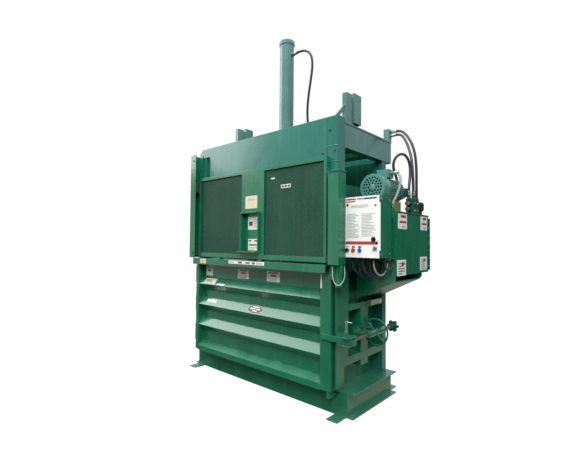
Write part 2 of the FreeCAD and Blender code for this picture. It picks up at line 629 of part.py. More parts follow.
# ---- power unit --------------------------------------------------------------------------------------
def power_unit():
    y0, y1 = TANK_Y0, TANK_Y1
    low = 978.0
    edge = TANK_OUT - 5
    front = along_y(
        [(HALF_WIDTH, low), (edge - 25, 1150), (edge - 7, 1160), (edge, 1178), (edge, TANK_Z1 - 10),
         (HALF_WIDTH, TANK_Z1 - 10)],
        TANK_PLATE_Y0, y0,
    )
    gusset_y0 = REAR_COL_Y1 - BRACKET_T
    rear = along_y(
        [(HALF_WIDTH, low), (edge - 25, 1150), (edge, 1178), (edge, TANK_Z0), (HALF_WIDTH, TANK_Z0)],
        gusset_y0, REAR_COL_Y1,
    )
    shelf = along_y([(HALF_WIDTH, low), (edge - 25, 1150), (edge - 25, 1160), (HALF_WIDTH, low + 10)],
                    y0, gusset_y0)
    save("tank_bracket", front, rear, shelf)

    w = TANK_WALL
    tank = block(TANK_IN, TANK_OUT, y0, y1, TANK_Z0, TANK_Z1)
    tank = tank.cut(block(TANK_IN + w, TANK_OUT - w, y0 + w, y1 - w, TANK_Z0 + w, TANK_Z1))
    save("tank_shell", tank)
    top_cover = block(TANK_IN - 4, TANK_OUT + 8, y0, y1 + 4, TANK_Z1, TANK_Z1 + 8)
    end_cover = block(TANK_IN - 6, TANK_OUT + 15, y1, y1 + 12, TANK_Z0 + 18, TANK_Z1 - 20)
    bosses = [fitting("z", TANK_OUT - 58, 416, LID_Z), fitting("z", TANK_OUT - 64, -90, LID_Z)]
    save("tank_covers", top_cover, end_cover, *bosses)
    lid = LID_Z
    neck = rod("z", TANK_OUT - 65, y1 - 65, lid, 28, 40)
    cap = rod("z", TANK_OUT - 65, y1 - 65, lid + 40, 46, 92)
    cap = cap.makeFillet(22, [cap.Edges[0], cap.Edges[2]])
    save("filler_breather", joined(neck, cap))

    mid = (MOTOR_Y0 + SHROUD_L + MOTOR_Y1) / 2
    foot_top = MOTOR_Z - MOTOR_R + 6
    riser = box_tube(MOTOR_X - 95, MOTOR_X + 95, mid - 110, mid + 110, lid, foot_top, 8, "y")
    body = rod("y", MOTOR_X, MOTOR_Y0 + SHROUD_L, MOTOR_Z, MOTOR_R, MOTOR_Y1 - MOTOR_Y0 - SHROUD_L)
    riser = riser.cut(rod("y", MOTOR_X, mid - 120, MOTOR_Z, MOTOR_R, 240))
    save("motor_riser", riser)
    inner0 = MOTOR_Y0 + SHROUD_L + 14
    body = body.cut(rod("y", MOTOR_X, inner0, MOTOR_Z, ROTOR_R + 8, MOTOR_Y1 - inner0 - 14))
    body = body.cut(rod("y", MOTOR_X, MOTOR_Y0, MOTOR_Z, SHAFT_R + RUN, MOTOR_Y1 - MOTOR_Y0))
    shroud = rod("y", MOTOR_X, MOTOR_Y0, MOTOR_Z, SHROUD_R, SHROUD_L + 12)
    shroud = shroud.cut(rod("y", MOTOR_X, MOTOR_Y0 + 4, MOTOR_Z, SHROUD_R - 4, SHROUD_L + 8))
    for ring, count in ((38.0, 8), (62.0, 14), (86.0, 20)):
        for k in range(count):
            a = 2 * math.pi * k / count
            hole = rod("y", MOTOR_X + ring * math.cos(a), MOTOR_Y0, MOTOR_Z + ring * math.sin(a), 9, 4)
            shroud = shroud.cut(hole)
    seat = tube("y", MOTOR_X, MOTOR_Y0 + SHROUD_L, MOTOR_Z, SHROUD_R - 4, MOTOR_R, 12)
    save("fan_shroud", joined(shroud, seat))
    y = TERMINAL_Y
    terminal = block(MOTOR_X - 25, TERMINAL_X, y - 50, y + 50, MOTOR_Z + 96, MOTOR_Z + 172)
    terminal = terminal.cut(rod("y", MOTOR_X, y - 60, MOTOR_Z, MOTOR_R, 120))
    save("motor_housing", body, terminal, fitting("x", TERMINAL_X, y, MOTOR_Z + 138))
    shaft = rod("y", MOTOR_X, MOTOR_Y0 + 30, MOTOR_Z, SHAFT_R, MOTOR_Y1 - MOTOR_Y0 + 20)
    core = rod("y", MOTOR_X, inner0 + 20, MOTOR_Z, ROTOR_R, MOTOR_Y1 - inner0 - 54)
    fan = rod("y", MOTOR_X, MOTOR_Y0 + 40, MOTOR_Z, 40, 30)
    for k in range(6):
        blade = block(MOTOR_X - 3, MOTOR_X + 3, MOTOR_Y0 + 40, MOTOR_Y0 + 70, MOTOR_Z + 30, MOTOR_Z + 95)
        blade.rotate(V(MOTOR_X, 0, MOTOR_Z), V(0, 1, 0), 60 * k)
        fan = fan.fuse(blade)
    fan = fan.cut(rod("y", MOTOR_X, MOTOR_Y0 + 30, MOTOR_Z, SHAFT_R, 60))
    save("motor_rotor", joined(shaft, core), fan.removeSplitter())

    bell = rod("y", MOTOR_X, MOTOR_Y1, MOTOR_Z, 84, 60)
    bell = bell.cut(rod("y", MOTOR_X, MOTOR_Y1, MOTOR_Z, SHAFT_R + 6, 60))
    pump = joined(
        rod("y", MOTOR_X, MOTOR_Y1 + 60, MOTOR_Z, 58, 110),
        block(MOTOR_X + 40, MOTOR_X + 90, MOTOR_Y1 + 80, MOTOR_Y1 + 150, MOTOR_Z - 40, MOTOR_Z + 40),
    )
    valve_y0 = MOTOR_Y1 + 60
    valve = block(TANK_OUT - 88, TANK_OUT - 12, valve_y0, valve_y0 + 120, lid, lid + 150)
    spools = []
    for dz in (96.0, 44.0):
        spools.append(rod("y", TANK_OUT - 50, valve_y0 - 60, lid + dz, 19, 60))
    ports = [fitting("z", TANK_OUT - 48, 310, VALVE_Z), fitting("z", TANK_OUT - 70, 258, VALVE_Z)]
    seat = fitting("z", MOTOR_X, 262, MOTOR_Z + 50)
    port = seat.cut(rod("y", MOTOR_X, 200, MOTOR_Z, 58, 160))
    save("pump_group", bell, pump, joined(valve, *spools), port, *ports)


# ---- control box --------------------------------------------------------------------------------------
def control_box():
    x0, x1 = BOX_X0, BOX_X0 + BOX_W
    y0, y1 = FRONT_Y, FRONT_Y + BOX_D
    z0, z1 = BOX_Z0, BOX_Z0 + BOX_H
    w = BOX_WALL
    shell = block(x0, x1, y0, y1, z0, z1).cut(block(x0 + w, x1 - w, y0, y1 - w, z0 + w, z1 - w))
    stand = []
    for x in (x0 + 50, x1 - 50):
        for z in (z0 + 80, TANK_Z1 - 50):
            stand.append(rod("y", x, y1, z, 15, TANK_PLATE_Y0 - y1))
    save("control_box", shell, *stand)

    cover = block(x0, x1, y0 - COVER_T - SEAT, y0 - SEAT, z0, z1)
    hinge = rod("z", x1 + 6, y0 - SEAT - COVER_T / 2, z0 + 60, 5, BOX_H - 120)
    leaf = block(x1 - 2, x1 + 6, y0 - SEAT - COVER_T, y0 - SEAT, z0 + 60, z1 - 60)
    cover = joined(cover, hinge, leaf)
    front = y0 - SEAT
    holes = [(x, BUTTON_Z, BUTTON_R) for x in BUTTON_X] + [(SELECTOR_X, SELECTOR_Z, 15), (KEY_X, KEY_Z, 11)]
    for x, z, r in holes:
        cover = cover.cut(rod("y", x, front - COVER_T, z, r - 3 + RUN, COVER_T))
    save("control_cover", cover)

    face = front - COVER_T
    for name, x in zip(("button_black", "button_red", "button_blue"), BUTTON_X):
        stem = rod("y", x, face - BUTTON_TRAVEL - 1, BUTTON_Z, BUTTON_R - 3, 26)
        head = rod("y", x, face - BUTTON_TRAVEL - 9, BUTTON_Z, BUTTON_R, 8)
        save(name, joined(stem, head))
    knob = rod("y", SELECTOR_X, face - 10, SELECTOR_Z, 15, 9.7)
    grip = block(SELECTOR_X - 5, SELECTOR_X + 5, face - 22, face - 10, SELECTOR_Z - 13, SELECTOR_Z + 13)
    stem = rod("y", SELECTOR_X, face - 1, SELECTOR_Z, 12, 24)
    save("selector_switch", joined(knob, grip, stem))
    barrel = rod("y", KEY_X, face - 12, KEY_Z, 11, 11.7)
    stem = rod("y", KEY_X, face - 1, KEY_Z, 8, 24)
    key = block(KEY_X - 1.5, KEY_X + 1.5, face - 34, face - 11, KEY_Z - 8, KEY_Z + 8)
    save("key_switch", joined(barrel, stem, key))


# ---- hoses and conduit ----------------------------------------------------------------------------------
W = HALF_WIDTH

# Each route starts and ends at the mouth of a fitting.
HOSES = {
    "hose_cylinder": (HOSE_R, [
        (113, RAM_Y, BARREL_PORT_Z), (190, RAM_Y, BARREL_PORT_Z), (266, -20, BARREL_PORT_Z - 12),
        (330, -16, BARREL_PORT_Z - 56), (358, -10, BARREL_PORT_Z - 130),
        (358, -4, BARREL_PORT_Z - 220), (338, 2, BARREL_PORT_Z - 315), (312, 10, BARREL_PORT_Z - 415),
        (286, 20, BARREL_PORT_Z - 515), (262, 34, BEAM_Z1 + 453), (246, 52, BEAM_Z1 + 353),
        (238, 76, BEAM_Z1 + 253), (236, 112, BEAM_Z1 + 143), (236, 112, BEAM_Z1 + FITTING_L),
    ]),
    "hose_pressure": (HOSE_R, [
        (W + 336, 310, VALVE_Z + FITTING_L), (W + 336, 310, 2030), (W + 336, 303, 2115),
        (W + 330, 308, 2200),
        (W + 316, 326, 2285), (W + 290, 354, 2368), (W + 258, 382, 2440), (W + 224, 410, 2504),
        (W + 188, 440, 2556), (W + 150, 470, 2604), (W + 100, PORT_A[0], PORT_A[1]),
        (PORT_X, PORT_A[0], PORT_A[1]),
    ]),
    "hose_return": (HOSE_R, [
        (W + 326, 416, LID_Z + FITTING_L), (W + 326, 416, 1885), (W + 325, 412, 1975), (W + 324, 414, 2065),
        (W + 322, 420, 2155), (W + 317, 428, 2245), (W + 307, 436, 2333), (W + 289, 446, 2418),
        (W + 260, 458, 2494), (W + 224, 474, 2556), (W + 188, 488, 2606), (W + 148, 498, 2648),
        (W + 98, PORT_B[0], PORT_B[1]),
        (PORT_X, PORT_B[0], PORT_B[1]),
    ]),
    "hose_suction": (HOSE_R, [
        (MOTOR_X, 262, MOTOR_Z + 50 + FITTING_L), (MOTOR_X, 262, 2112), (W + 186, 228, 2172),
        (W + 182, 196, 2240), (W + 196, 202, 2308), (W + 224, 240, 2354), (W + 252, 290, 2362),
        (W + 274, 330, 2322), (W + 288, 346, 2252), (W + 296, 332, 2180), (W + 304, 304, 2112),
        (W + 310, 276, 2052), (W + 314, 258, 1998),
        (W + 314, 258, VALVE_Z + FITTING_L),
    ]),
    "motor_conduit": (CONDUIT_R, [
        (TERMINAL_X + FITTING_L, TERMINAL_Y, MOTOR_Z + 138), (W + 336, TERMINAL_Y, MOTOR_Z + 138),
        (W + 362, -52, 2102), (W + 376, -54, 2074), (W + 378, -58, 2032), (W + 372, -63, 1988),
        (W + 361, -70, 1942), (W + 344, -79, 1895), (W + 320, -90, 1850),
        (W + 320, -90, LID_Z + FITTING_L),
    ]),
}


def bend_radius(before, point, after):
    """The largest arc that leaves 0.45 of the shorter run on each side of a corner."""
    a, b = before - point, after - point
    turn = math.pi - a.getAngle(b)
    return 0.45 * min(a.Length, b.Length) / math.tan(turn / 2), turn


def hose(name, r, route):
    """A tube of straight runs joined by tangent arcs; prints its length and radii."""
    points = [V(*p) for p in route]
    edges = []
    radii = []
    here = points[0]
    for before, point, after in zip(points, points[1:], points[2:]):
        radius, turn = bend_radius(before, point, after)
        radii.append(round(radius))
        back = radius * math.tan(turn / 2)
        start = point + (before - point).normalize() * back
        end = point + (after - point).normalize() * back
        middle = (start + end) * 0.5
        reach = radius / math.cos(turn / 2) - radius
        crown = point + (middle - point).normalize() * reach
        edges.append(Part.LineSegment(here, start).toShape())
        edges.append(Part.Arc(start, crown, end).toShape())
        here = end
    edges.append(Part.LineSegment(here, points[-1]).toShape())
    path = Part.Wire(edges)
    section = Part.Wire(Part.makeCircle(r, points[0], points[1] - points[0]))
    tube_shape = path.makePipeShell([section], True, True)
    share = tube_shape.Volume / (math.pi * r * r * path.Length)
    print(name, "length", round(path.Length), "volume share", round(share, 4), "radii", min(radii), radii)
    save(name, tube_shape)


def hoses():
    for name, (r, route) in HOSES.items():
        hose(name, r, route)


base()
columns()
walls()
crown = header()
brackets()
press(crown)
gate()
guides()
door()
latch()
power_unit()
control_box()
hoses()
print("nodes:", len([f for f in os.listdir("parts") if f.endswith(".step")]))
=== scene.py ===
"""Vertical recycling baler: finishes, hoses, mesh, labels and small fittings around the fixed frame.

Metres, in the frame of the CAD model: X across the machine, -Y towards the loading side, Z up.
"""

import math

import bmesh
import bpy
import numpy as np
from mathutils import Matrix, Vector


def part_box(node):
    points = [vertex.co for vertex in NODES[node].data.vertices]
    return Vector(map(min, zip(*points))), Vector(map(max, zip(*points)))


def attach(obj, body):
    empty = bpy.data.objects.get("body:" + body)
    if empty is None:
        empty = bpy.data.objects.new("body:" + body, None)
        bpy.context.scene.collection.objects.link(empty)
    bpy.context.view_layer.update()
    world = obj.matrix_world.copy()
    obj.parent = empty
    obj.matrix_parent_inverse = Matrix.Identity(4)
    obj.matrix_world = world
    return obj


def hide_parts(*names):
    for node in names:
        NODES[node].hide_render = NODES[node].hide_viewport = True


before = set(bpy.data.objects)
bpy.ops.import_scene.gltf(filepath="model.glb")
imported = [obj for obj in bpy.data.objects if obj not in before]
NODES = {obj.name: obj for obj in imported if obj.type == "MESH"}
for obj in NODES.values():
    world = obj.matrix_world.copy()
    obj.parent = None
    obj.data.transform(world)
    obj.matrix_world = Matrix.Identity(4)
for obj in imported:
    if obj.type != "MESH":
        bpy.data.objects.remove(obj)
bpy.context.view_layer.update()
X = np.array([1.0, 0.0, 0.0])
Y = np.array([0.0, 1.0, 0.0])
Z = np.array([0.0, 0.0, 1.0])


def low(node):
    return np.array(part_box(node)[0])


def high(node):
    return np.array(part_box(node)[1])


# ---- viewpoint ------------------------------------------------------------------------------------
YAW, PITCH, ROLL = (math.radians(a) for a in (41.50, 1.923, 0.4919))
EYE = Vector((2.82717, -3.13191, 1.48549))


def make_camera():
    """Looks across the machine from the front right corner at eye height."""
    right = Vector((math.cos(YAW), math.sin(YAW), 0))
    ahead = Vector((-math.sin(YAW), math.cos(YAW), 0))
    up = Vector((0, 0, 1))
    look = ahead * math.cos(PITCH) + up * math.sin(PITCH)
    crown = -ahead * math.sin(PITCH) + up * math.cos(PITCH)
    side = right * math.cos(ROLL) + crown * math.sin(ROLL)
    crown = -right * math.sin(ROLL) + crown * math.cos(ROLL)
    camera = bpy.data.objects.new("camera", bpy.data.cameras.new("camera"))
    bpy.context.scene.collection.objects.link(camera)
    turn = Matrix((side, crown, -look)).transposed().to_4x4()
    camera.matrix_world = Matrix.Translation(EYE) @ turn
    camera.data.lens = 23.04
    camera.data.sensor_width = 36.0
    camera.data.clip_end = 100
    bpy.context.scene.camera = camera


# ---- surfaces -------------------------------------------------------------------------------------
def quads(rows, cols, wrap_rows=False, wrap_cols=False):
    """Corner numbers of the squares in a rows x cols grid; wrap joins its last line to its first."""
    r, c = np.meshgrid(
        np.arange(rows - (not wrap_rows)), np.arange(cols - (not wrap_cols)), indexing="ij"
    )
    down, over = (r + 1) % rows, (c + 1) % cols
    return np.stack([r * cols + c, r * cols + over, down * cols + over, down * cols + c], -1).reshape(-1, 4)


class Shape:
    """Points, four-cornered faces and a paint number for each face."""

    def __init__(self, points, faces, paint=0):
        self.points = np.asarray(points, float).reshape(-1, 3)
        self.faces = np.asarray(faces, int).reshape(-1, 4)
        self.paint = np.full(len(self.faces), paint) if np.isscalar(paint) else np.asarray(paint)

    def at(self, origin, x=X, y=Y, z=Z):
        """The same shape with its own axes laid along three directions from an origin."""
        moved = self.points @ np.array([x, y, z], float) + np.asarray(origin, float)
        return Shape(moved, self.faces, self.paint)


def merged(shapes):
    """Several shapes as one."""
    starts = np.cumsum([0] + [len(s.points) for s in shapes[:-1]])
    return Shape(
        np.concatenate([s.points for s in shapes]),
        np.concatenate([s.faces + start for s, start in zip(shapes, starts)]),
        np.concatenate([s.paint for s in shapes]),
    )


def turned(profile, count=48, paint=0):
    """A lathe shape about +Z: (radius, height) pairs carried round a circle, closed at radius 0."""
    profile = np.asarray(profile, float)
    angle = np.linspace(0, 2 * math.pi, count, endpoint=False)[:, None]
    radius, height = profile[:, 0][None], profile[:, 1][None]
    points = np.stack([radius * np.cos(angle), radius * np.sin(angle), height + 0 * angle], -1)
    return Shape(points, quads(count, len(profile), wrap_rows=True), paint)


def slab(low_corner, high_corner, paint=0):
    """A box between two corners; each of its eight takes one of the two ends along every axis."""
    ends = np.stack([low_corner, high_corner]).astype(float)
    i, j, k = np.meshgrid([0, 1], [0, 1], [0, 1], indexing="ij")
    points = np.stack([ends[i, 0], ends[j, 1], ends[k, 2]], -1).reshape(-1, 3)
    faces = [(0, 1, 3, 2), (4, 6, 7, 5), (0, 4, 5, 1), (2, 3, 7, 6), (0, 2, 6, 4), (1, 5, 7, 3)]
    return Shape(points, faces, paint)


def piece(name, shape, body, paints, smooth=35.0):
    """Puts a shape into a mesh that rides on a body, with its faces turned outward."""
    mesh = bpy.data.meshes.new(name)
    faces = [tuple(dict.fromkeys(f)) for f in shape.faces.tolist()]
    mesh.from_pydata(shape.points.tolist(), [], faces)
    for paint in paints:
        mesh.materials.append(paint)
    mesh.polygons.foreach_set("material_index", shape.paint.astype(np.int32))
    work = bmesh.new()
    work.from_mesh(mesh)
    bmesh.ops.remove_doubles(work, verts=work.verts, dist=1e-6)
    bmesh.ops.recalc_face_normals(work, faces=work.faces)
    work.to_mesh(mesh)
    work.free()
    mesh.shade_smooth()
    mesh.set_sharp_from_angle(angle=math.radians(smooth))
    made = bpy.data.objects.new(name, mesh)
    bpy.context.scene.collection.objects.link(made)
    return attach(made, body)


# ---- shared shader groups -------------------------------------------------------------------------
class Graph:
    """Short calls for adding and joining shader nodes; a value may be a number or another's output."""

    def __init__(self, tree):
        self.tree = tree

    def add(self, kind, settings=None, **values):
        made = self.tree.nodes.new("ShaderNode" + kind)
        for key, value in (settings or {}).items():
            setattr(made, key, value)
        for key, value in values.items():
            self.feed(made.inputs[key.replace("_", " ")], value)
        return made

    def feed(self, socket, value):
        if isinstance(value, bpy.types.NodeSocket):
            self.tree.links.new(value, socket)
        else:
            socket.default_value = value

    def maths(self, kind, a, b, clamp=False):
        made = self.tree.nodes.new("ShaderNodeMath")
        made.operation = kind
        made.use_clamp = clamp
        self.feed(made.inputs[0], a)
        self.feed(made.inputs[1], b)
        return made.outputs[0]

    def blend(self, amount, a, b):
        """Colour a turning into colour b."""
        made = self.add("Mix", {"data_type": "RGBA"})
        self.feed(made.inputs[0], amount)
        self.feed(made.inputs[6], a)
        self.feed(made.inputs[7], b)
        return made.outputs[2]

    def ramp(self, value, start, end, first=0.0, last=1.0):
        made = self.add("MapRange", Value=value, From_Min=start, From_Max=end, To_Min=first, To_Max=last)
        return made.outputs[0]

    def noise(self, scale, detail=3.0, rough=0.5, stretch=None):
        place = self.add("TexCoord").outputs["Object"]
        if stretch:
            place = self.add("Mapping", Vector=place, Scale=stretch).outputs[0]
        made = self.add("TexNoise", Vector=place, Scale=scale, Detail=detail, Roughness=rough)
        return made.outputs["Fac"]


def new_group(name, inputs, outputs):
    """An empty node group with named number inputs and (name, kind) outputs."""
    tree = bpy.data.node_groups.new(name, "ShaderNodeTree")
    for label, value in inputs:
        socket = tree.interface.new_socket(label, in_out="INPUT", socket_type="NodeSocketFloat")
        socket.default_value = value
    for label, kind in outputs:
        tree.interface.new_socket(label, in_out="OUTPUT", socket_type="NodeSocket" + kind)
    graph = Graph(tree)
    source = tree.nodes.new("NodeGroupInput")
    sink = tree.nodes.new("NodeGroupOutput")
    return tree, graph, source, sink


def edge_group():
    """Rounded edges: a softened normal, and a mask that is 1 along outer corners."""
    outputs = [("Normal", "Vector"), ("Edge", "Float")]
    tree, g, given, out = new_group("rounded_edges", [("Radius", 0.004)], outputs)
    soft = g.add("Bevel", {"samples": 4}, Radius=given.outputs[0]).outputs[0]
    flat = g.add("NewGeometry").outputs["Normal"]
    dot = g.add("VectorMath", {"operation": "DOT_PRODUCT"})
    g.feed(dot.inputs[0], soft)
    g.feed(dot.inputs[1], flat)
    g.feed(out.inputs[0], soft)
    g.feed(out.inputs[1], g.ramp(dot.outputs["Value"], 0.995, 0.80))
    return tree


def dust_group():
    """Settled dust: more on faces that look up and low on the machine, broken by noise."""
    tree, g, given, out = new_group("settled_dust", [("Amount", 0.3)], [("Mask", "Float")])
    up = g.add("SeparateXYZ", Vector=g.add("NewGeometry").outputs["Normal"]).outputs["Z"]
    top = g.ramp(up, 0.3, 1.0)
    place = g.add("SeparateXYZ", Vector=g.add("TexCoord").outputs["Object"]).outputs["Z"]
    foot = g.ramp(place, 0.7, 0.0, 0.0, 0.55)
    cloud = g.ramp(g.noise(7.0, 6.0, 0.65), 0.35, 0.75)
    both = g.maths("ADD", top, foot, clamp=True)
    mask = g.maths("MULTIPLY", both, g.maths("MULTIPLY", cloud, given.outputs[0]), clamp=True)
    g.feed(out.inputs[0], mask)
    return tree


def streak_group():
    """Runs down a face: noise stretched along Z, with fine scratches."""
    tree, g, given, out = new_group("runs_and_scuffs", [("Amount", 0.3)], [("Mask", "Float")])
    runs = g.ramp(g.noise(26.0, 4.0, 0.6, (1, 1, 0.05)), 0.52, 0.75)
    scuffs = g.ramp(g.noise(60.0, 3.0, 0.7, (1, 1, 0.4)), 0.66, 0.74)
    both = g.maths("MAXIMUM", runs, scuffs)
    g.feed(out.inputs[0], g.maths("MULTIPLY", both, given.outputs[0], clamp=True))
    return tree


def peel_group():
    """Sprayed paint: two sizes of shallow ripple as a height."""
    tree, g, given, out = new_group("spray_ripple", [("Fine", 0.4)], [("Height", "Float")])
    wide = g.noise(9.0, 2.0)
    fine = g.maths("MULTIPLY", g.noise(320.0, 2.0), given.outputs[0])
    g.feed(out.inputs[0], g.maths("ADD", wide, fine))
    return tree


GROUPS = {
    "edges": edge_group(), "dust": dust_group(), "runs": streak_group(), "ripple": peel_group(),
}


def grouped(g, name, **values):
    """One of the shared groups, placed with its own values."""
    made = g.tree.nodes.new("ShaderNodeGroup")
    made.node_tree = GROUPS[name]
    for key, value in values.items():
        g.feed(made.inputs[key], value)
    return made.outputs


def blank(name):
    """A material with its Principled shader and a graph for its nodes."""
    made = bpy.data.materials.new(name)
    made.use_nodes = True
    g = Graph(made.node_tree)
    shader = made.node_tree.nodes["Principled BSDF"]
    return made, g, shader


# ---- finishes -------------------------------------------------------------------------------------
def enamel(name, colour, rub, wear=0.35, dust=0.25, shine=0.16, ripple=0.10, edge=0.004, gloss=0.62):
    """Glossy machine enamel: sprayed ripple, cloudy depth, rubbed edges, runs and a little dust."""
    made, g, shader = blank(name)
    edges = grouped(g, "edges", Radius=edge)
    cloud = g.ramp(g.noise(2.2, 4.0, 0.6), 0.3, 0.7)
    lighter = tuple(min(1.0, c * 1.35 + 0.004) for c in colour[:3]) + (1,)
    tint = g.blend(cloud, colour, lighter)
    runs = grouped(g, "runs", Amount=0.22)["Mask"]
    tint = g.blend(runs, tint, rub)
    patchy = g.maths("MULTIPLY", edges["Edge"], g.ramp(g.noise(30.0, 5.0, 0.7), 0.35, 0.6))
    tint = g.blend(g.maths("MULTIPLY", patchy, wear), tint, rub)
    settled = grouped(g, "dust", Amount=dust)["Mask"]
    g.feed(shader.inputs["Base Color"], g.blend(settled, tint, (0.34, 0.34, 0.30, 1)))
    sheen = g.ramp(cloud, 0, 1, shine + 0.06, shine + 0.18)
    g.feed(shader.inputs["Roughness"], g.maths("ADD", sheen, g.maths("MULTIPLY", settled, 0.5)))
    g.feed(shader.inputs["Coat Weight"], g.maths("SUBTRACT", gloss, settled, clamp=True))
    shader.inputs["Specular IOR Level"].default_value = gloss * 0.4
    shader.inputs["Coat Roughness"].default_value = shine * 0.5
    height = grouped(g, "ripple", Fine=0.25)["Height"]
    bump = g.add("Bump", Strength=ripple, Distance=0.01, Height=height, Normal=edges["Normal"])
    g.feed(shader.inputs["Normal"], bump.outputs[0])
    g.feed(shader.inputs["Coat Normal"], bump.outputs[0])
    return made


def metal(name, colour, stain, rough=0.3, grain=(1, 1, 14), amount=0.5, edge=0.001):
    """Bare, plated or chromed metal: fine drawn grain and tarnish in patches."""
    made, g, shader = blank(name)
    edges = grouped(g, "edges", Radius=edge)
    patches = g.maths("MULTIPLY", g.ramp(g.noise(24.0, 5.0, 0.65), 0.42, 0.68), amount)
    g.feed(shader.inputs["Base Color"], g.blend(patches, colour, stain))
    lines = g.noise(240.0, 2.0, 0.5, grain)
    drawn = g.ramp(lines, 0.3, 0.7, rough * 0.8, rough * 1.25)
    g.feed(shader.inputs["Roughness"], g.maths("ADD", drawn, g.maths("MULTIPLY", patches, 0.35)))
    shader.inputs["Metallic"].default_value = 1.0
    bump = g.add("Bump", Strength=0.12, Distance=0.002, Height=lines, Normal=edges["Normal"])
    g.feed(shader.inputs["Normal"], bump.outputs[0])
    return made


def moulded(name, colour, rough=0.4, texture=0.15, dust=0.2, edge=0.002):
    """Moulded plastic or rubber: fine spark texture, soft edges and dust."""
    made, g, shader = blank(name)
    edges = grouped(g, "edges", Radius=edge)
    settled = grouped(g, "dust", Amount=dust)["Mask"]
    cloud = g.ramp(g.noise(18.0, 3.0), 0.3, 0.7, 0.85, 1.15)
    shade = g.add("HueSaturation", Color=colour, Value=cloud).outputs[0]
    g.feed(shader.inputs["Base Color"], g.blend(settled, shade, (0.3, 0.3, 0.28, 1)))
    g.feed(shader.inputs["Roughness"], g.ramp(g.noise(90.0), 0.3, 0.7, rough * 0.85, rough * 1.2))
    spark = g.noise(500.0, 2.0)
    bump = g.add("Bump", Strength=texture, Distance=0.001, Height=spark, Normal=edges["Normal"])
    g.feed(shader.inputs["Normal"], bump.outputs[0])
    return made


def printed(name, colour, dirt=0.12, rough=0.35):
    """Printed film or powder-coated face: nearly flat colour with faint handling marks."""
    made, g, shader = blank(name)
    marks = g.maths("MULTIPLY", g.ramp(g.noise(14.0, 6.0, 0.7), 0.45, 0.8), dirt)
    g.feed(shader.inputs["Base Color"], g.blend(marks, colour, (0.16, 0.15, 0.13, 1)))
    g.feed(shader.inputs["Roughness"], g.ramp(g.noise(40.0), 0.3, 0.7, rough * 0.8, rough * 1.3))
    bump = g.add("Bump", Strength=0.05, Distance=0.002, Height=g.noise(180.0))
    g.feed(shader.inputs["Normal"], bump.outputs[0])
    return made


GREEN = (0.0030, 0.108, 0.055, 1)
RUBBED = (0.07, 0.24, 0.17, 1)
green = enamel("green_enamel", GREEN, RUBBED, dust=0.12, gloss=0.8)
header_green = enamel("header_enamel", (0.007, 0.106, 0.084, 1), (0.12, 0.30, 0.26, 1), dust=0.10)
# A paler, bluer copy of the machine green: painted reflection of the sky on the header's right side, the
# cylinder barrel and the lift brackets.
sky_pale_green = enamel("sky_pale_enamel", (0.056, 0.134, 0.122, 1), (0.18, 0.33, 0.30, 1), dust=0.15)
deep_green = enamel("deep_enamel", (0.003, 0.075, 0.040, 1), RUBBED, wear=0.2)
oily_green = enamel(
    "oily_enamel", (0.006, 0.050, 0.034, 1), (0.08, 0.16, 0.12, 1), wear=0.5, dust=0.4, shine=0.2
)
olive = enamel("olive_primer", (0.11, 0.15, 0.055, 1), (0.2, 0.24, 0.14, 1), dust=0.3, shine=0.3)
mesh_paint = enamel(
    "mesh_paint", (0.007, 0.040, 0.027, 1), (0.03, 0.08, 0.06, 1), shine=0.5, edge=0.0008, gloss=0.12
)
motor_grey = enamel("motor_enamel", (0.055, 0.190, 0.160, 1), (0.2, 0.35, 0.3, 1), dust=0.35, shine=0.25)
white_face = printed("white_face", (0.78, 0.78, 0.76, 1))
chrome = metal("chrome_rod", (0.82, 0.83, 0.85, 1), (0.5, 0.5, 0.5, 1), rough=0.10, amount=0.15)
bare_steel = metal("bare_steel", (0.36, 0.30, 0.25, 1), (0.16, 0.09, 0.05, 1), rough=0.38, amount=0.8)
zinc = metal("zinc_plate", (0.66, 0.68, 0.68, 1), (0.42, 0.42, 0.40, 1), rough=0.26)
nylon = moulded("nylon_shoe", (0.030, 0.045, 0.040, 1))
black = moulded("black_plastic", (0.012, 0.012, 0.013, 1), rough=0.35)
red = moulded("red_plastic", (0.50, 0.018, 0.014, 1), rough=0.28, dust=0.1)
blue = moulded("blue_plastic", (0.015, 0.06, 0.32, 1), rough=0.28, dust=0.1)
rubber = moulded("hose_rubber", (0.030, 0.026, 0.040, 1), rough=0.42, texture=0.3)
cable_grey = moulded("cable_grey", (0.30, 0.32, 0.30, 1), rough=0.5)
ink_red = printed("print_red", (0.42, 0.035, 0.03, 1))
ink_dark = printed("print_dark", (0.05, 0.05, 0.055, 1))
ink_grey = printed("print_grey", (0.42, 0.40, 0.40, 1))
cream = printed("print_cream", (0.62, 0.56, 0.40, 1))
pale = printed("print_pale", (0.72, 0.72, 0.68, 1))

FINISHES = {
    green: """base_frame deck_plate column_front_right column_front_left side_wall_right side_wall_left
        jamb_right gate_guide_right gate_guide_left feed_sill door_skin door_ribs latch_lug hinge_jamb
        hinge_pins latch_yoke latch_clevis latch_handwheel gate_handle gate_frame control_box tank_shell
        tank_bracket""",
    header_green: """header_front header_side_left header_rear post_upper_right post_upper_left
        column_rear_right column_rear_left""",
    # These parts take the paler enamel that has the sky's reflection painted into its colour.
    sky_pale_green: "header_side_right cylinder_barrel lift_brackets",
    deep_green: "rear_wall crown_beams platen tank_covers lock_knob",
    oily_green: "pump_group",
    olive: "motor_riser",
    motor_grey: "motor_housing fan_shroud",
    chrome: "ram_rod",
    bare_steel: "latch_screw motor_rotor",
    zinc: "drop_pin key_switch",
    nylon: "gate_shoes",
    white_face: "control_cover",
    black: "filler_breather button_black selector_switch",
    red: "button_red",
    blue: "button_blue",
}


def paint_nodes():
    """Every CAD node that stays gets its finish."""
    for paint, names in FINISHES.items():
        for name in names.split():
            slots = NODES[name].data.materials
            slots.clear()
            slots.append(paint)


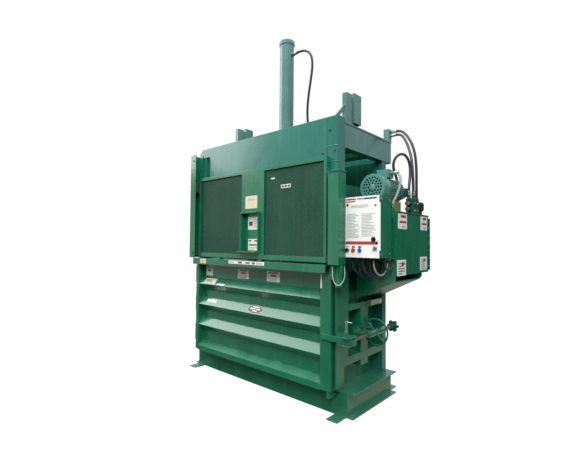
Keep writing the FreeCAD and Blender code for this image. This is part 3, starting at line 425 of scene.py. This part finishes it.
# ---- hoses ----------------------------------------------------------------------------------------
SIDE = 1.016  # outer face of the right post; the power unit's hoses are placed from it
HOSES = {
    "hose_cylinder": (0.026, 1.246, rubber, [
        (0.113, -0.023, 3.620), (0.190, -0.023, 3.620), (0.266, -0.020, 3.608),
        (0.330, -0.016, 3.564), (0.358, -0.010, 3.490), (0.358, -0.004, 3.400),
        (0.338, 0.002, 3.305), (0.312, 0.010, 3.205), (0.286, 0.020, 3.105),
        (0.262, 0.034, 3.000), (0.246, 0.052, 2.900), (0.238, 0.076, 2.800),
        (0.236, 0.112, 2.690), (0.236, 0.112, 2.575),
    ]),
    "hose_pressure": (0.026, 0.856, rubber, [
        (SIDE + 0.336, 0.310, 1.946), (SIDE + 0.336, 0.310, 2.030), (SIDE + 0.336, 0.303, 2.115),
        (SIDE + 0.330, 0.308, 2.200), (SIDE + 0.316, 0.326, 2.285), (SIDE + 0.290, 0.354, 2.368),
        (SIDE + 0.258, 0.382, 2.440), (SIDE + 0.224, 0.410, 2.504), (SIDE + 0.188, 0.440, 2.556),
        (SIDE + 0.150, 0.470, 2.604), (SIDE + 0.100, 0.488, 2.630), (SIDE + 0.034, 0.488, 2.630),
    ]),
    "hose_return": (0.026, 1.021, rubber, [
        (SIDE + 0.326, 0.416, 1.796), (SIDE + 0.326, 0.416, 1.885), (SIDE + 0.325, 0.412, 1.975),
        (SIDE + 0.324, 0.414, 2.065), (SIDE + 0.322, 0.420, 2.155), (SIDE + 0.317, 0.428, 2.245),
        (SIDE + 0.307, 0.436, 2.333), (SIDE + 0.289, 0.446, 2.418), (SIDE + 0.260, 0.458, 2.494),
        (SIDE + 0.224, 0.474, 2.556), (SIDE + 0.188, 0.488, 2.606), (SIDE + 0.148, 0.498, 2.648),
        (SIDE + 0.098, 0.500, 2.672), (SIDE + 0.034, 0.500, 2.672),
    ]),
    "hose_suction": (0.026, 0.836, rubber, [
        (SIDE + 0.193, 0.262, 2.058), (SIDE + 0.193, 0.262, 2.112), (SIDE + 0.186, 0.228, 2.172),
        (SIDE + 0.182, 0.196, 2.240), (SIDE + 0.196, 0.202, 2.308), (SIDE + 0.224, 0.240, 2.354),
        (SIDE + 0.252, 0.290, 2.362), (SIDE + 0.274, 0.330, 2.322), (SIDE + 0.288, 0.346, 2.252),
        (SIDE + 0.296, 0.332, 2.180), (SIDE + 0.304, 0.304, 2.112), (SIDE + 0.310, 0.276, 2.052),
        (SIDE + 0.314, 0.258, 1.998), (SIDE + 0.314, 0.258, 1.946),
    ]),
    "motor_conduit": (0.022, 0.376, cable_grey, [
        (SIDE + 0.311, -0.051, 2.118), (SIDE + 0.336, -0.051, 2.118), (SIDE + 0.362, -0.052, 2.102),
        (SIDE + 0.376, -0.054, 2.074), (SIDE + 0.378, -0.058, 2.032), (SIDE + 0.372, -0.063, 1.988),
        (SIDE + 0.361, -0.070, 1.942), (SIDE + 0.344, -0.079, 1.895), (SIDE + 0.320, -0.090, 1.850),
        (SIDE + 0.320, -0.090, 1.796),
    ]),
}


def smooth_line(name, diameter, route, paint):
    """A round hose on one NURBS line whose control points are the route."""
    curve = bpy.data.curves.new(name, "CURVE")
    curve.dimensions = "3D"
    curve.resolution_u = 10
    curve.bevel_depth = diameter / 2
    curve.bevel_resolution = 5
    curve.use_fill_caps = True
    line = curve.splines.new("NURBS")
    line.points.add(len(route) - 1)
    for point, place in zip(line.points, route):
        point.co = (*place, 1)
    line.order_u = 3
    line.use_endpoint_u = True
    curve.materials.append(paint)
    made = bpy.data.objects.new(name, curve)
    bpy.context.scene.collection.objects.link(made)
    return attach(made, "frame")


CRIMP_START, CRIMP_END = 0.012, 0.046


def ferrule(start, towards, diameter):
    """A crimped sleeve and hexagon nut where a hose meets its fitting."""
    axis = np.subtract(towards, start)
    axis = axis / np.linalg.norm(axis)
    side = np.cross(axis, Y if abs(axis[1]) < 0.9 else X)
    side = side / np.linalg.norm(side)
    r = diameter / 2
    height = np.linspace(CRIMP_START, CRIMP_END, 29)
    crimp = r + 0.0035 + 0.0012 * np.sign(np.sin(height * 1100))
    sleeve = np.concatenate([[(r, CRIMP_START)], np.stack([crimp, height], -1), [(r, CRIMP_END)]])
    nut = [(r - 0.004, 0.0), (r + 0.006, 0.0), (r + 0.007, 0.002), (r + 0.007, 0.012), (r - 0.004, 0.013)]
    both = merged([turned(sleeve, 24), turned(nut, 6)])
    return both.at(start, side, np.cross(axis, side), axis)


def lay_hoses():
    """Each hose on its route, with its two end fittings."""
    for name, (diameter, length, paint, route) in HOSES.items():
        hose = smooth_line(name + "_line", diameter, route, paint)
        ends = merged([ferrule(route[0], route[1], diameter), ferrule(route[-1], route[-2], diameter)])
        fittings = piece(name + "_ends", ends, "frame", [zinc])
        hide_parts(name)


# ---- gate mesh ------------------------------------------------------------------------------------
def expanded_sheet(x0, x1, z0, z1, y):
    """Expanded metal. Each strand is a zigzag that steps about half a diamond along and rise up or
    down, and is the next one's mirror image, so that they meet in diamonds. The steps are stretched
    a little to fill the window with whole ones. A strand is a thin ribbon tilted out of the sheet."""
    half, rise = 0.0215, 0.0056
    j = np.arange(round((x1 - x0) / half) + 1)
    s = np.arange(round((z1 - z0) / (2 * rise)) + 1)
    column, row = np.meshgrid(j, s)
    x = x0 + column * (x1 - x0) / j[-1]
    z = z0 + row * (z1 - z0) / s[-1] + rise * (-1.0) ** (column + row)
    z = np.clip(z, z0, z1)
    ribbon = np.array([(-0.0017, -0.0033), (-0.0010, -0.0038), (0.0017, 0.0033), (0.0010, 0.0038)])
    x, z = x[..., None], z[..., None]
    points = np.stack(np.broadcast_arrays(x, y + ribbon[:, 0], z + ribbon[:, 1]), -1)
    last = 4 * (len(j) - 1)
    ends = [(0, 1, 2, 3), (last, last + 3, last + 2, last + 1)]
    strand = np.concatenate([quads(len(j), 4, False, True), ends])
    step = np.arange(len(s))[:, None, None] * (len(j) * 4)
    return Shape(points, strand[None] + step)


def make_mesh_panels():
    """Two mesh panels in the gate's windows, each with a thin dark sheet on its back: painted shade
    standing in for the dim inside seen through the mesh.
    """
    lo, hi = low("gate_mesh"), high("gate_mesh")
    shade_sheet_thickness = 0.0006
    half_band = 0.168
    y = (lo[1] + hi[1] - shade_sheet_thickness) / 2
    for name, x0, x1 in (("mesh_left", lo[0], -half_band), ("mesh_right", half_band, hi[0])):
        panel = piece(name, expanded_sheet(x0, x1, lo[2], hi[2], y), "gate", [mesh_paint], smooth=10)
        # Painted shade: a thin dark deep-green sheet behind the mesh, in place of the shade inside the
        # machine behind the gate's windows.
        sheet = slab((x0, hi[1] - shade_sheet_thickness, lo[2]), (x1, hi[1], hi[2]))
        shade_sheet = piece(name + "_shade_sheet", sheet, "gate", [deep_green])
        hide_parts("gate_mesh")


# ---- labels ---------------------------------------------------------------------------------------
PRINT = [pale, ink_red, ink_dark, ink_grey, cream, white_face, black, blue]
WHITE, RED, DARK, GREY, CREAM, FACE, BLACK, BLUE = range(8)
FRONT, SIDEWAYS = (X, Z), (Y, Z)
FILM = 0.0006
rows_seed = np.random.default_rng(7)


def label(origin, along, up, width, height, marks=(), base=WHITE):
    """A thin plate in the plane of two directions; marks are (left, right, foot, top, paint) in
    fractions of its sides and lie on it."""
    along, up = np.array(along, float), np.array(up, float)
    shapes = [slab((0, 0, 0), (width, height, FILM), base)]
    for k, (left, right, foot, top, paint) in enumerate(marks):
        rise = FILM * (2 + 0.3 * (k % 3))
        shapes.append(slab((left * width, foot * height, 0), (right * width, top * height, rise), paint))
    return merged(shapes).at(origin, along, up, np.cross(along, up))


def rows(left, right, foot, top, count, paint=GREY, fill=0.55):
    """Marks in rows of uneven length, as blocks of print look from a few steps away."""
    pitch = (top - foot) / count
    ends = right - (right - left) * rows_seed.uniform(0.0, 0.45, count)
    return [(left, end, foot + k * pitch, foot + (k + fill) * pitch, paint) for k, end in enumerate(ends)]


RIB_NOSES = (0.998, 0.759, 0.520)
NOTICE = [(0.14, 0.86, 0.78, 0.92, RED), (0.30, 0.72, 0.48, 0.66, DARK)]


def make_gate_labels():
    """Plates on the gate's middle band and two small ones on the right mesh."""
    gate_y, mesh_y = low("gate_frame")[1], low("gate_mesh")[1]
    gate = [
        label((-0.108, gate_y, 1.838), *FRONT, 0.180, 0.131,
              [(0.2, 0.8, 0.62, 0.80, GREY), (0.25, 0.7, 0.28, 0.46, CREAM)], CREAM),
        label((-0.062, gate_y, 1.619), *FRONT, 0.167, 0.133,
              [(0.10, 0.42, 0.30, 0.62, DARK), *rows(0.5, 0.95, 0.15, 0.85, 5)]),
        label((-0.058, gate_y, 1.407), *FRONT, 0.167, 0.116,
              [(0.06, 0.30, 0.78, 0.90, DARK), (0.55, 0.85, 0.78, 0.90, DARK),
               (0.06, 0.9, 0.42, 0.54, DARK), *rows(0.08, 0.92, 0.06, 0.34, 2)]),
        label((0.389, mesh_y, 2.012), *FRONT, 0.125, 0.034,
              [(0.06, 0.30, 0.2, 0.8, DARK), (0.38, 0.62, 0.2, 0.8, DARK), (0.70, 0.94, 0.2, 0.8, DARK)]),
        label((0.255, mesh_y, 2.112), *FRONT, 0.050, 0.014),
    ]
    piece("gate_labels", merged(gate), "gate", PRINT)


def make_sill_labels():
    """A long strip and a small plate on the feed sill."""
    sill_y = low("feed_sill")[1]
    sill = [
        label((-0.306, sill_y, 1.262), *FRONT, 0.540, 0.034,
              [(0.03, 0.16, 0.3, 0.7, GREY), (0.28, 0.40, 0.2, 0.8, RED), (0.50, 0.62, 0.3, 0.7, DARK),
               (0.68, 0.76, 0.2, 0.8, RED), (0.80, 0.95, 0.3, 0.7, GREY)]),
        label((-0.826, sill_y, 1.245), *FRONT, 0.115, 0.052, rows(0.1, 0.9, 0.15, 0.85, 3), CREAM),
    ]
    piece("sill_labels", merged(sill), "frame", PRINT)


def make_door_labels():
    """Three notices in the door's top bay, strips on its ribs and a dark oval plate on the middle rib."""
    skin_y, nose_y = low("door_skin")[1], low("door_ribs")[1]
    rise = np.array([0, 0.068, 0.079])
    slope = rise / np.linalg.norm(rise)
    out = np.cross(X, slope)
    top_rib, mid_rib = (np.array([0, nose_y, z]) for z in RIB_NOSES[:2])
    oval_centre = mid_rib + (0.010, 0, 0) + slope * 0.055
    door = [
        label((-0.880, skin_y, 1.094), *FRONT, 0.130, 0.108, NOTICE),
        label((-0.305, skin_y, 1.098), *FRONT, 0.175, 0.100,
              [*NOTICE, *rows(0.1, 0.9, 0.08, 0.36, 2, RED)]),
        label((0.143, skin_y, 1.096), *FRONT, 0.180, 0.104, [*NOTICE, *rows(0.1, 0.9, 0.08, 0.36, 2)]),
        label((0.872, nose_y, 1.096), *FRONT, 0.014, 0.120),
        label(top_rib + (-0.850, 0, 0) + slope * 0.020, X, slope, 0.205, 0.066,
              rows(0.1, 0.9, 0.2, 0.85, 3, DARK), CREAM),
        label(top_rib + (-0.600, 0, 0) + slope * 0.010, X, slope, 0.130, 0.018),
        label(mid_rib + (-0.810, 0, 0) + slope * 0.048, X, slope, 0.165, 0.036,
              rows(0.1, 0.9, 0.2, 0.8, 2)),
        label((-0.012, skin_y, 0.930), *FRONT, 0.200, 0.022, [(0.1, 0.7, 0.3, 0.7, GREY)]),
    ]
    disc = [(0, 0), (1, 0), (1, 1), (0, 1)]
    oval = turned(disc, 40, DARK).at(oval_centre, X * 0.105, slope * 0.046, out * 0.0010)
    rim = turned(disc, 40, GREY).at(oval_centre, X * 0.112, slope * 0.051, out * 0.0006)
    start = oval_centre + out * 0.0012
    for left, right, up in (
        (-0.045, 0.050, 0.020), (-0.070, 0.000, -0.002), (0.014, 0.070, -0.004), (-0.030, 0.035, -0.026),
    ):
        door.append(label(start + X * left + slope * up, X, slope, right - left, 0.011))
    piece("door_labels", merged([*door, oval, rim]), "door", PRINT)


def make_side_labels():
    """Four notices on the tank's side and a strip on the side wall's top rail."""
    tank_x = high("tank_shell")[0]
    plates = []
    for y, z, w, h in ((-0.122, 1.617, 0.181, 0.136), (0.363, 1.620, 0.159, 0.135)):
        bars = [(0.30, 0.86, 0.72, 0.90, RED), (0.16, 0.92, 0.38, 0.52, RED), (0.4, 0.8, 0.10, 0.22, GREY)]
        plates.append(label((tank_x, y, z), *SIDEWAYS, w, h, bars))
    for y, z, w, h in ((-0.142, 1.208, 0.178, 0.138), (0.348, 1.236, 0.168, 0.128)):
        bars = [*rows(0.16, 0.9, 0.1, 0.9, 5, DARK, 0.35), (0.5, 0.8, 0.62, 0.86, RED)]
        plates.append(label((tank_x, y, z), *SIDEWAYS, w, h, bars))
    rail = (high("side_wall_right")[0], 0.100, 0.890)
    plates.append(label(rail, *SIDEWAYS, 0.215, 0.046, rows(0.04, 0.95, 0.15, 0.85, 2)))
    piece("side_labels", merged(plates), "frame", PRINT)


PANEL_LEFT, PANEL_WIDTH, PANEL_FACE = 1.100, 0.312, -0.4793


def make_control_face():
    """The white panel: title bars, two columns of print, discs, a red band, a tag for each button, and
    collars round the buttons and the key."""
    foot = low("control_cover")[2]
    height = high("control_cover")[2] - foot

    def field(x0, x1, z0, z1, paint):
        """A mark given by its place on the machine."""
        across = ((x0 - PANEL_LEFT) / PANEL_WIDTH, (x1 - PANEL_LEFT) / PANEL_WIDTH)
        return (*across, (z0 - foot) / height, (z1 - foot) / height, paint)

    marks = [
        field(1.106, 1.200, 1.846, 1.858, RED), field(1.212, 1.268, 1.848, 1.858, RED),
        field(1.276, 1.392, 1.846, 1.859, DARK), field(1.106, 1.196, 1.828, 1.838, RED),
        field(1.104, 1.402, 1.478, 1.504, RED), field(1.106, 1.118, 1.482, 1.500, DARK),
        field(1.236, 1.290, 1.482, 1.500, DARK), field(1.384, 1.399, 1.480, 1.502, DARK),
        field(1.106, 1.132, 1.448, 1.466, GREY), field(1.163, 1.190, 1.448, 1.466, RED),
        field(1.224, 1.251, 1.448, 1.466, BLUE), field(1.354, 1.396, 1.428, 1.468, GREY),
    ]
    for x0, x1, z0, z1, count in (
        (1.110, 1.236, 1.530, 1.736, 17), (1.254, 1.388, 1.545, 1.736, 16), (1.150, 1.350, 1.780, 1.808, 3),
    ):
        u0, u1, v0, v1, _ = field(x0, x1, z0, z1, GREY)
        marks += rows(u0, u1, v0, v1, count, GREY, 0.5)
    face = label((PANEL_LEFT, PANEL_FACE, foot), X, Z, PANEL_WIDTH, height, marks, FACE)
    shapes = [face]
    for x, z, r, paint in (
        (1.118, 1.806, 0.013, RED), (1.380, 1.792, 0.009, DARK), (1.361, 1.520, 0.021, BLACK),
    ):
        disc = turned([(0, 0), (r, 0), (r, 0.0016), (r * 0.9, 0.0022), (0, 0.0022)], 32, paint)
        shapes.append(disc.at((x, PANEL_FACE, z), X, Z, -Y))
    made = piece("control_face", merged(shapes), "cover", PRINT)
    collars = []
    for x, z, r in (
        (1.119, 1.431, 0.0185), (1.176, 1.431, 0.0185), (1.237, 1.431, 0.0185), (1.375, 1.448, 0.016),
    ):
        ring = [(r - 0.0035, 0), (r, 0), (r, 0.003), (r - 0.001, 0.004), (r - 0.0035, 0.004)]
        collars.append(turned(ring + ring[:1], 32).at((x, PANEL_FACE, z), X, Z, -Y))
    piece("button_collars", merged(collars), "cover", [zinc])


# ---- fastenings and welds -------------------------------------------------------------------------
HEADER_FACE = -0.475
BOX_SIDE = 1.411


def hex_bolt(size):
    """A washer under a six-sided head with a turned crown."""
    r = size * 0.9
    washer = turned([(0, 0), (size * 1.15, 0), (size * 1.15, size * 0.16), (0, size * 0.16)], 20)
    crown, brim = size * 0.78, size * 0.68
    head = turned([(0, size * 0.1), (r, size * 0.1), (r, brim), (r * 0.86, crown), (0, crown)], 6)
    return merged([washer, head])


def bead(length, radius):
    """A weld bead: a lathe shape whose radius ripples along its length and closes at both ends."""
    along = np.linspace(0, length, max(12, int(length / 0.0022)))
    swell = radius * (1 + 0.22 * np.sin(along * 2 * math.pi / 0.0075))
    swell[[0, -1]] = 0
    return turned(np.stack([swell, along], -1), 8)


def make_bolts():
    """Painted heads on the header, posts and left guide; plated ones on the tank's rim and lid and on
    the control box's side."""
    front = [(0.931, 2.484), (0.854, 2.287), (-0.985, 2.190), (0.985, 2.300)]
    big = hex_bolt(0.011)
    on_front = [big.at((x, HEADER_FACE, z), X, Z, -Y) for x, z in front]
    guide_y = low("gate_guide_left")[1]
    on_front += [big.at((-0.985, guide_y, z), X, Z, -Y) for z in (2.46, 1.36)]
    small = hex_bolt(0.007)
    flange_x = high("tank_covers")[0] - 0.007
    rim = [small.at((flange_x, 0.550, z), X, Z, -Y) for z in np.arange(1.27, 1.72, 0.075)]
    lid = high("tank_shell")[2] + 0.008
    top = [small.at((x, y, lid), X, Y, Z) for x in (1.045, 1.385) for y in np.arange(-0.12, 0.54, 0.11)]
    clamp = [small.at((BOX_SIDE, y, z), Y, Z, X) for y in (-0.44, -0.30) for z in (1.40, 1.845)]
    painted = merged(on_front)
    painted.paint[:] = 1
    piece("machine_bolts", merged([painted] + rim + top + clamp), "frame", [zinc, deep_green], smooth=25)


def make_door_welds():
    """Stitch welds along the ribs, the bottom rail and the stiles."""
    face_y = low("door_skin")[1] - 0.001
    bottom_rail = 0.3205
    welds = []
    for nose in RIB_NOSES:
        for z in (nose + 0.080, nose - 0.077):
            for x in (-0.82, -0.50, -0.18, 0.14, 0.46, 0.72):
                welds.append(bead(0.085, 0.0042).at((x, face_y, z), Z, Y, X))
    for x in (-0.88, -0.60, -0.32, -0.02, 0.26, 0.46, 0.66):
        welds.append(bead(0.09, 0.0042).at((x, face_y, bottom_rail), Z, Y, X))
    for x in (0.870, -0.930):
        for z in np.arange(0.30, 1.15, 0.17):
            welds.append(bead(0.06, 0.0040).at((x, face_y, z), X, Y, Z))
    piece("door_welds", merged(welds), "door", [green])


def make_frame_welds():
    """Stitch welds on the side wall's rails, the base flange and the upper right post."""
    wall_x, flange_x, flange_z = 1.0155, 1.0735, 0.1995
    post_y = -0.4745
    joints = []
    for z in (0.412, 0.484, 0.887, 0.940):
        for y in (-0.299, -0.090, 0.040):
            joints.append(bead(0.05, 0.0035).at((wall_x, y, z), Z, X, Y))
    for y in np.arange(-0.37, 0.36, 0.12):
        joints.append(bead(0.07, 0.004).at((flange_x, y, flange_z), Z, X, Y))
    for x in (0.905, 1.014):
        for z in (1.31, 2.20, 2.34):
            joints.append(bead(0.05, 0.004).at((x, post_y, z), Z, Y, X if x < 1 else -X))
    piece("frame_welds", merged(joints), "frame", [green])


# ---- power unit -----------------------------------------------------------------------------------
MOTOR_AXIS = np.array([1.209, 0.0, 1.980])
FAN_END = -0.225
FIN_FOOT, FIN_TOP = 0.111, 0.1192


def make_motor_fins():
    """Cooling fins round the motor, clear of its foot and terminal box, and a cap on the fan grille."""
    fin = slab((-0.0016, -0.098, FIN_FOOT), (0.0016, 0.166, FIN_TOP))
    angles = np.radians(np.arange(0, 360, 9.0))
    terminal_box = np.abs(np.angle(np.exp(1j * (angles - 0.25)))) < 0.45
    foot = np.abs(np.angle(np.exp(1j * (angles - math.pi)))) < 0.95
    shapes = []
    for a in angles[~terminal_box & ~foot]:
        x, z = np.array([math.cos(a), 0, -math.sin(a)]), np.array([math.sin(a), 0, math.cos(a)])
        shapes.append(fin.at(MOTOR_AXIS, x, Y, z))
    hub = turned([(0, 0), (0.030, 0), (0.030, 0.003), (0.024, 0.006), (0, 0.007)], 32)
    shapes.append(hub.at(MOTOR_AXIS + (0, FAN_END, 0), X, Z, -Y))
    piece("motor_fins", merged(shapes), "frame", [motor_grey])


def make_valve_plugs():
    """Hexagon plugs on the valve block's side and round caps on its spools."""
    block_x, spool_y = 1.388, 0.175
    nut = hex_bolt(0.009)
    plugs = [nut.at((block_x, y, z), Y, Z, X) for y in (0.262, 0.328) for z in (1.80, 1.87)]
    cap = turned([(0, 0), (0.021, 0), (0.021, 0.004), (0.010, 0.006), (0, 0.006)], 24)
    ends = [cap.at((1.350, spool_y, z), X, Z, -Y) for z in (1.864, 1.812)]
    piece("valve_plugs", merged(plugs + ends), "frame", [zinc])


# Fractions of a cable's sideways drift, its reach to the rear and its drop, from end to end.
HANGING = (
    (0, 0, 0), (0, 0, 0.40), (0.5, 0.06, 0.72), (1, 0.24, 0.97), (1.1, 0.50, 1), (1, 0.72, 0.82),
    (0.5, 0.86, 0.58), (0, 0.93, 0.36), (0, 1, 0.28),
)


def gland_of(inner, outer, nose, foot, tip):
    """A cable gland: a collar whose nose narrows round the cable."""
    return turned([(inner, 0), (outer, 0), (outer, foot), (nose, tip), (inner, tip)], 12)


def make_cables():
    """Six cables that leave the box's underside, hang in a loop and go back to the tank's bracket."""
    box_z, plate_y = low("control_box")[2], low("tank_bracket")[1]
    for k, (x, y, drop, drift, size, paint) in enumerate((
        (1.135, -0.430, 0.150, 0.020, 0.018, rubber), (1.185, -0.395, 0.175, -0.015, 0.016, rubber),
        (1.232, -0.425, 0.160, 0.020, 0.018, rubber), (1.282, -0.400, 0.185, 0.014, 0.016, rubber),
        (1.330, -0.420, 0.150, 0.012, 0.014, cable_grey), (1.378, -0.330, 0.105, 0.004, 0.018, rubber),
    )):
        reach = plate_y - y
        route = [
            (x + drift * aside, y + reach * along, box_z - drop * down) for aside, along, down in HANGING
        ]
        cable = smooth_line(f"cable_{k}", size, route, paint)
        gland = gland_of(size * 0.5, size * 0.95, size * 0.7, 0.010, 0.022)
        glands = merged([gland.at(route[0], X, -Y, -Z), gland.at(route[-1], X, Z, -Y)])
        held = piece(f"cable_{k}_glands", glands, "frame", [black])


def make_switch_lead():
    """A thin lead that leaves the right guide's foot, loops round the sleeve and goes back in."""
    foot = low("gate_guide_right")[2]
    route = [
        (1.032, -0.572, foot), (1.032, -0.574, foot - 0.050), (1.040, -0.578, foot - 0.105),
        (1.058, -0.580, foot - 0.150), (1.084, -0.574, foot - 0.168), (1.106, -0.556, foot - 0.160),
        (1.116, -0.532, foot - 0.130), (1.114, -0.510, foot - 0.090), (1.104, -0.496, foot - 0.045),
        (1.094, -0.492, foot),
    ]
    lead = smooth_line("switch_lead", 0.009, route, cable_grey)
    gland = gland_of(0.0045, 0.009, 0.0065, 0.006, 0.014)
    ends = merged([gland.at(end, X, -Y, -Z) for end in (route[0], route[-1])])
    held = piece("switch_lead_glands", ends, "frame", [black])


def make_sleeve():
    """A short vertical sleeve under the right guide, with a rim at each end and a seam down its side."""
    z0, z1 = 1.119, low("gate_guide_right")[2]
    tall = z1 - z0
    bore, outer, rim = 0.026, 0.032, 0.034
    wall = [(bore, 0), (rim, 0), (rim, 0.012), (outer, 0.016), (outer, tall - 0.016),
            (rim, tall - 0.012), (rim, tall), (bore, tall)]
    tube = turned(wall + wall[:1], 40).at((1.066, -0.524, z0), X, Y, Z)
    seam = slab((1.0975, -0.530, z0 + 0.02), (1.1005, -0.524, z1 - 0.02))
    piece("sleeve", merged([tube, seam]), "frame", [green])


def make_header_joint():
    """The joint line between the header's front plate and the upper right post."""
    groove = slab((0.8985, -0.4756, 2.225), (0.9065, -0.4749, 2.590))
    piece("header_joint", groove, "frame", [deep_green])


# ---- studio ---------------------------------------------------------------------------------------
PURE_WHITE = (1.0, 1.0, 1.0, 1)
SKY, UNDER_SKY = (0.86, 0.95, 0.98, 1), (0.04, 0.09, 0.07, 1)
WALL, OLIVE_GROUND, GLOW = (0.03, 0.06, 0.045, 1), (0.46, 0.49, 0.38, 1), (0.66, 0.64, 0.56, 1)
RIGHT_REAR, LEFT_FRONT = (0.62, 0.62, -0.30), (-0.70, -0.70, 0.0)


def make_floor():
    """A pale floor that glows a little; it lights nothing and shows in no reflection."""
    mesh = bpy.data.meshes.new("floor")
    mesh.from_pydata([(-30, -30, 0), (30, -30, 0), (30, 30, 0), (-30, 30, 0)], [], [(0, 1, 2, 3)])
    floor = bpy.data.objects.new("floor", mesh)
    bpy.context.scene.collection.objects.link(floor)
    paint, g, shader = blank("floor_pale")
    cloud = g.ramp(g.noise(0.8, 4.0), 0.3, 0.7)
    g.feed(shader.inputs["Base Color"], g.blend(cloud, (0.72, 0.72, 0.71, 1), (0.75, 0.75, 0.74, 1)))
    shader.inputs["Roughness"].default_value = 0.9
    shader.inputs["Emission Color"].default_value = PURE_WHITE
    shader.inputs["Emission Strength"].default_value = 0.42
    mesh.materials.append(paint)
    floor.visible_diffuse = floor.visible_glossy = False


def facing(g, direction):
    """How far a ray of the surround points along a direction."""
    made = g.add("VectorMath", {"operation": "DOT_PRODUCT"})
    g.feed(made.inputs[0], g.add("TexCoord").outputs["Generated"])
    g.feed(made.inputs[1], direction)
    return made.outputs["Value"]


def make_surround():
    """White where the camera looks past the machine. What falls on the machine is a soft sky over a
    dark ground, with a dark wall and olive ground at the right rear and a pale glow at the left front."""
    world = bpy.data.worlds.new("surround")
    bpy.context.scene.world = world
    world.use_nodes = True
    g = Graph(world.node_tree)
    height = g.add("SeparateXYZ", Vector=g.add("TexCoord").outputs["Generated"]).outputs["Z"]
    rear = g.ramp(facing(g, RIGHT_REAR), 0.30, 0.62)
    level = g.maths("SUBTRACT", 1.0, g.ramp(g.maths("ABSOLUTE", height, 0.0), 0.10, 0.24))
    shade = g.blend(g.ramp(height, -0.12, 0.55), UNDER_SKY, SKY)
    shade = g.blend(g.maths("MULTIPLY", rear, level), shade, WALL)
    below = g.maths("SUBTRACT", 1.0, g.ramp(height, -0.24, -0.12))
    shade = g.blend(g.maths("MULTIPLY", rear, below), shade, OLIVE_GROUND)
    front = g.ramp(facing(g, LEFT_FRONT), 0.5, 0.85)
    glow = g.maths("MULTIPLY", front, g.ramp(height, -0.30, -0.06))
    shade = g.blend(glow, shade, GLOW)
    seen = g.add("LightPath").outputs["Is Camera Ray"]
    back = world.node_tree.nodes["Background"]
    g.feed(back.inputs["Color"], g.blend(seen, shade, PURE_WHITE))
    back.inputs["Strength"].default_value = 1.0
    bpy.context.scene.view_settings.view_transform = "Standard"


def make_lights():
    """Three large soft lights; the key stands high on the front right and shows in no reflection."""
    for name, place, aim, size, power in (
        ("key", (4.6, -5.2, 6.0), (0.4, 0, 1.6), 3.2, 500),
        ("left", (-4.3, -2.4, 4.6), (0, -0.5, 0.7), 3.4, 135),
        ("top", (0.0, -2.6, 8.0), (0, 0, 1.0), 4.0, 420),
    ):
        lamp = bpy.data.lights.new(name, "AREA")
        lamp.size = size
        lamp.energy = power
        made = bpy.data.objects.new(name, lamp)
        made.visible_glossy = name != "key"
        made.location = place
        made.rotation_mode = "QUATERNION"
        made.rotation_quaternion = (Vector(aim) - Vector(place)).to_track_quat("-Z", "Y")
        bpy.context.scene.collection.objects.link(made)


make_camera()
paint_nodes()
lay_hoses()
make_mesh_panels()
make_gate_labels()
make_sill_labels()
make_door_labels()
make_side_labels()
make_control_face()
make_bolts()
make_door_welds()
make_frame_welds()
make_motor_fins()
make_valve_plugs()
make_cables()
make_switch_lead()
make_sleeve()
make_header_joint()
make_floor()
make_surround()
make_lights()
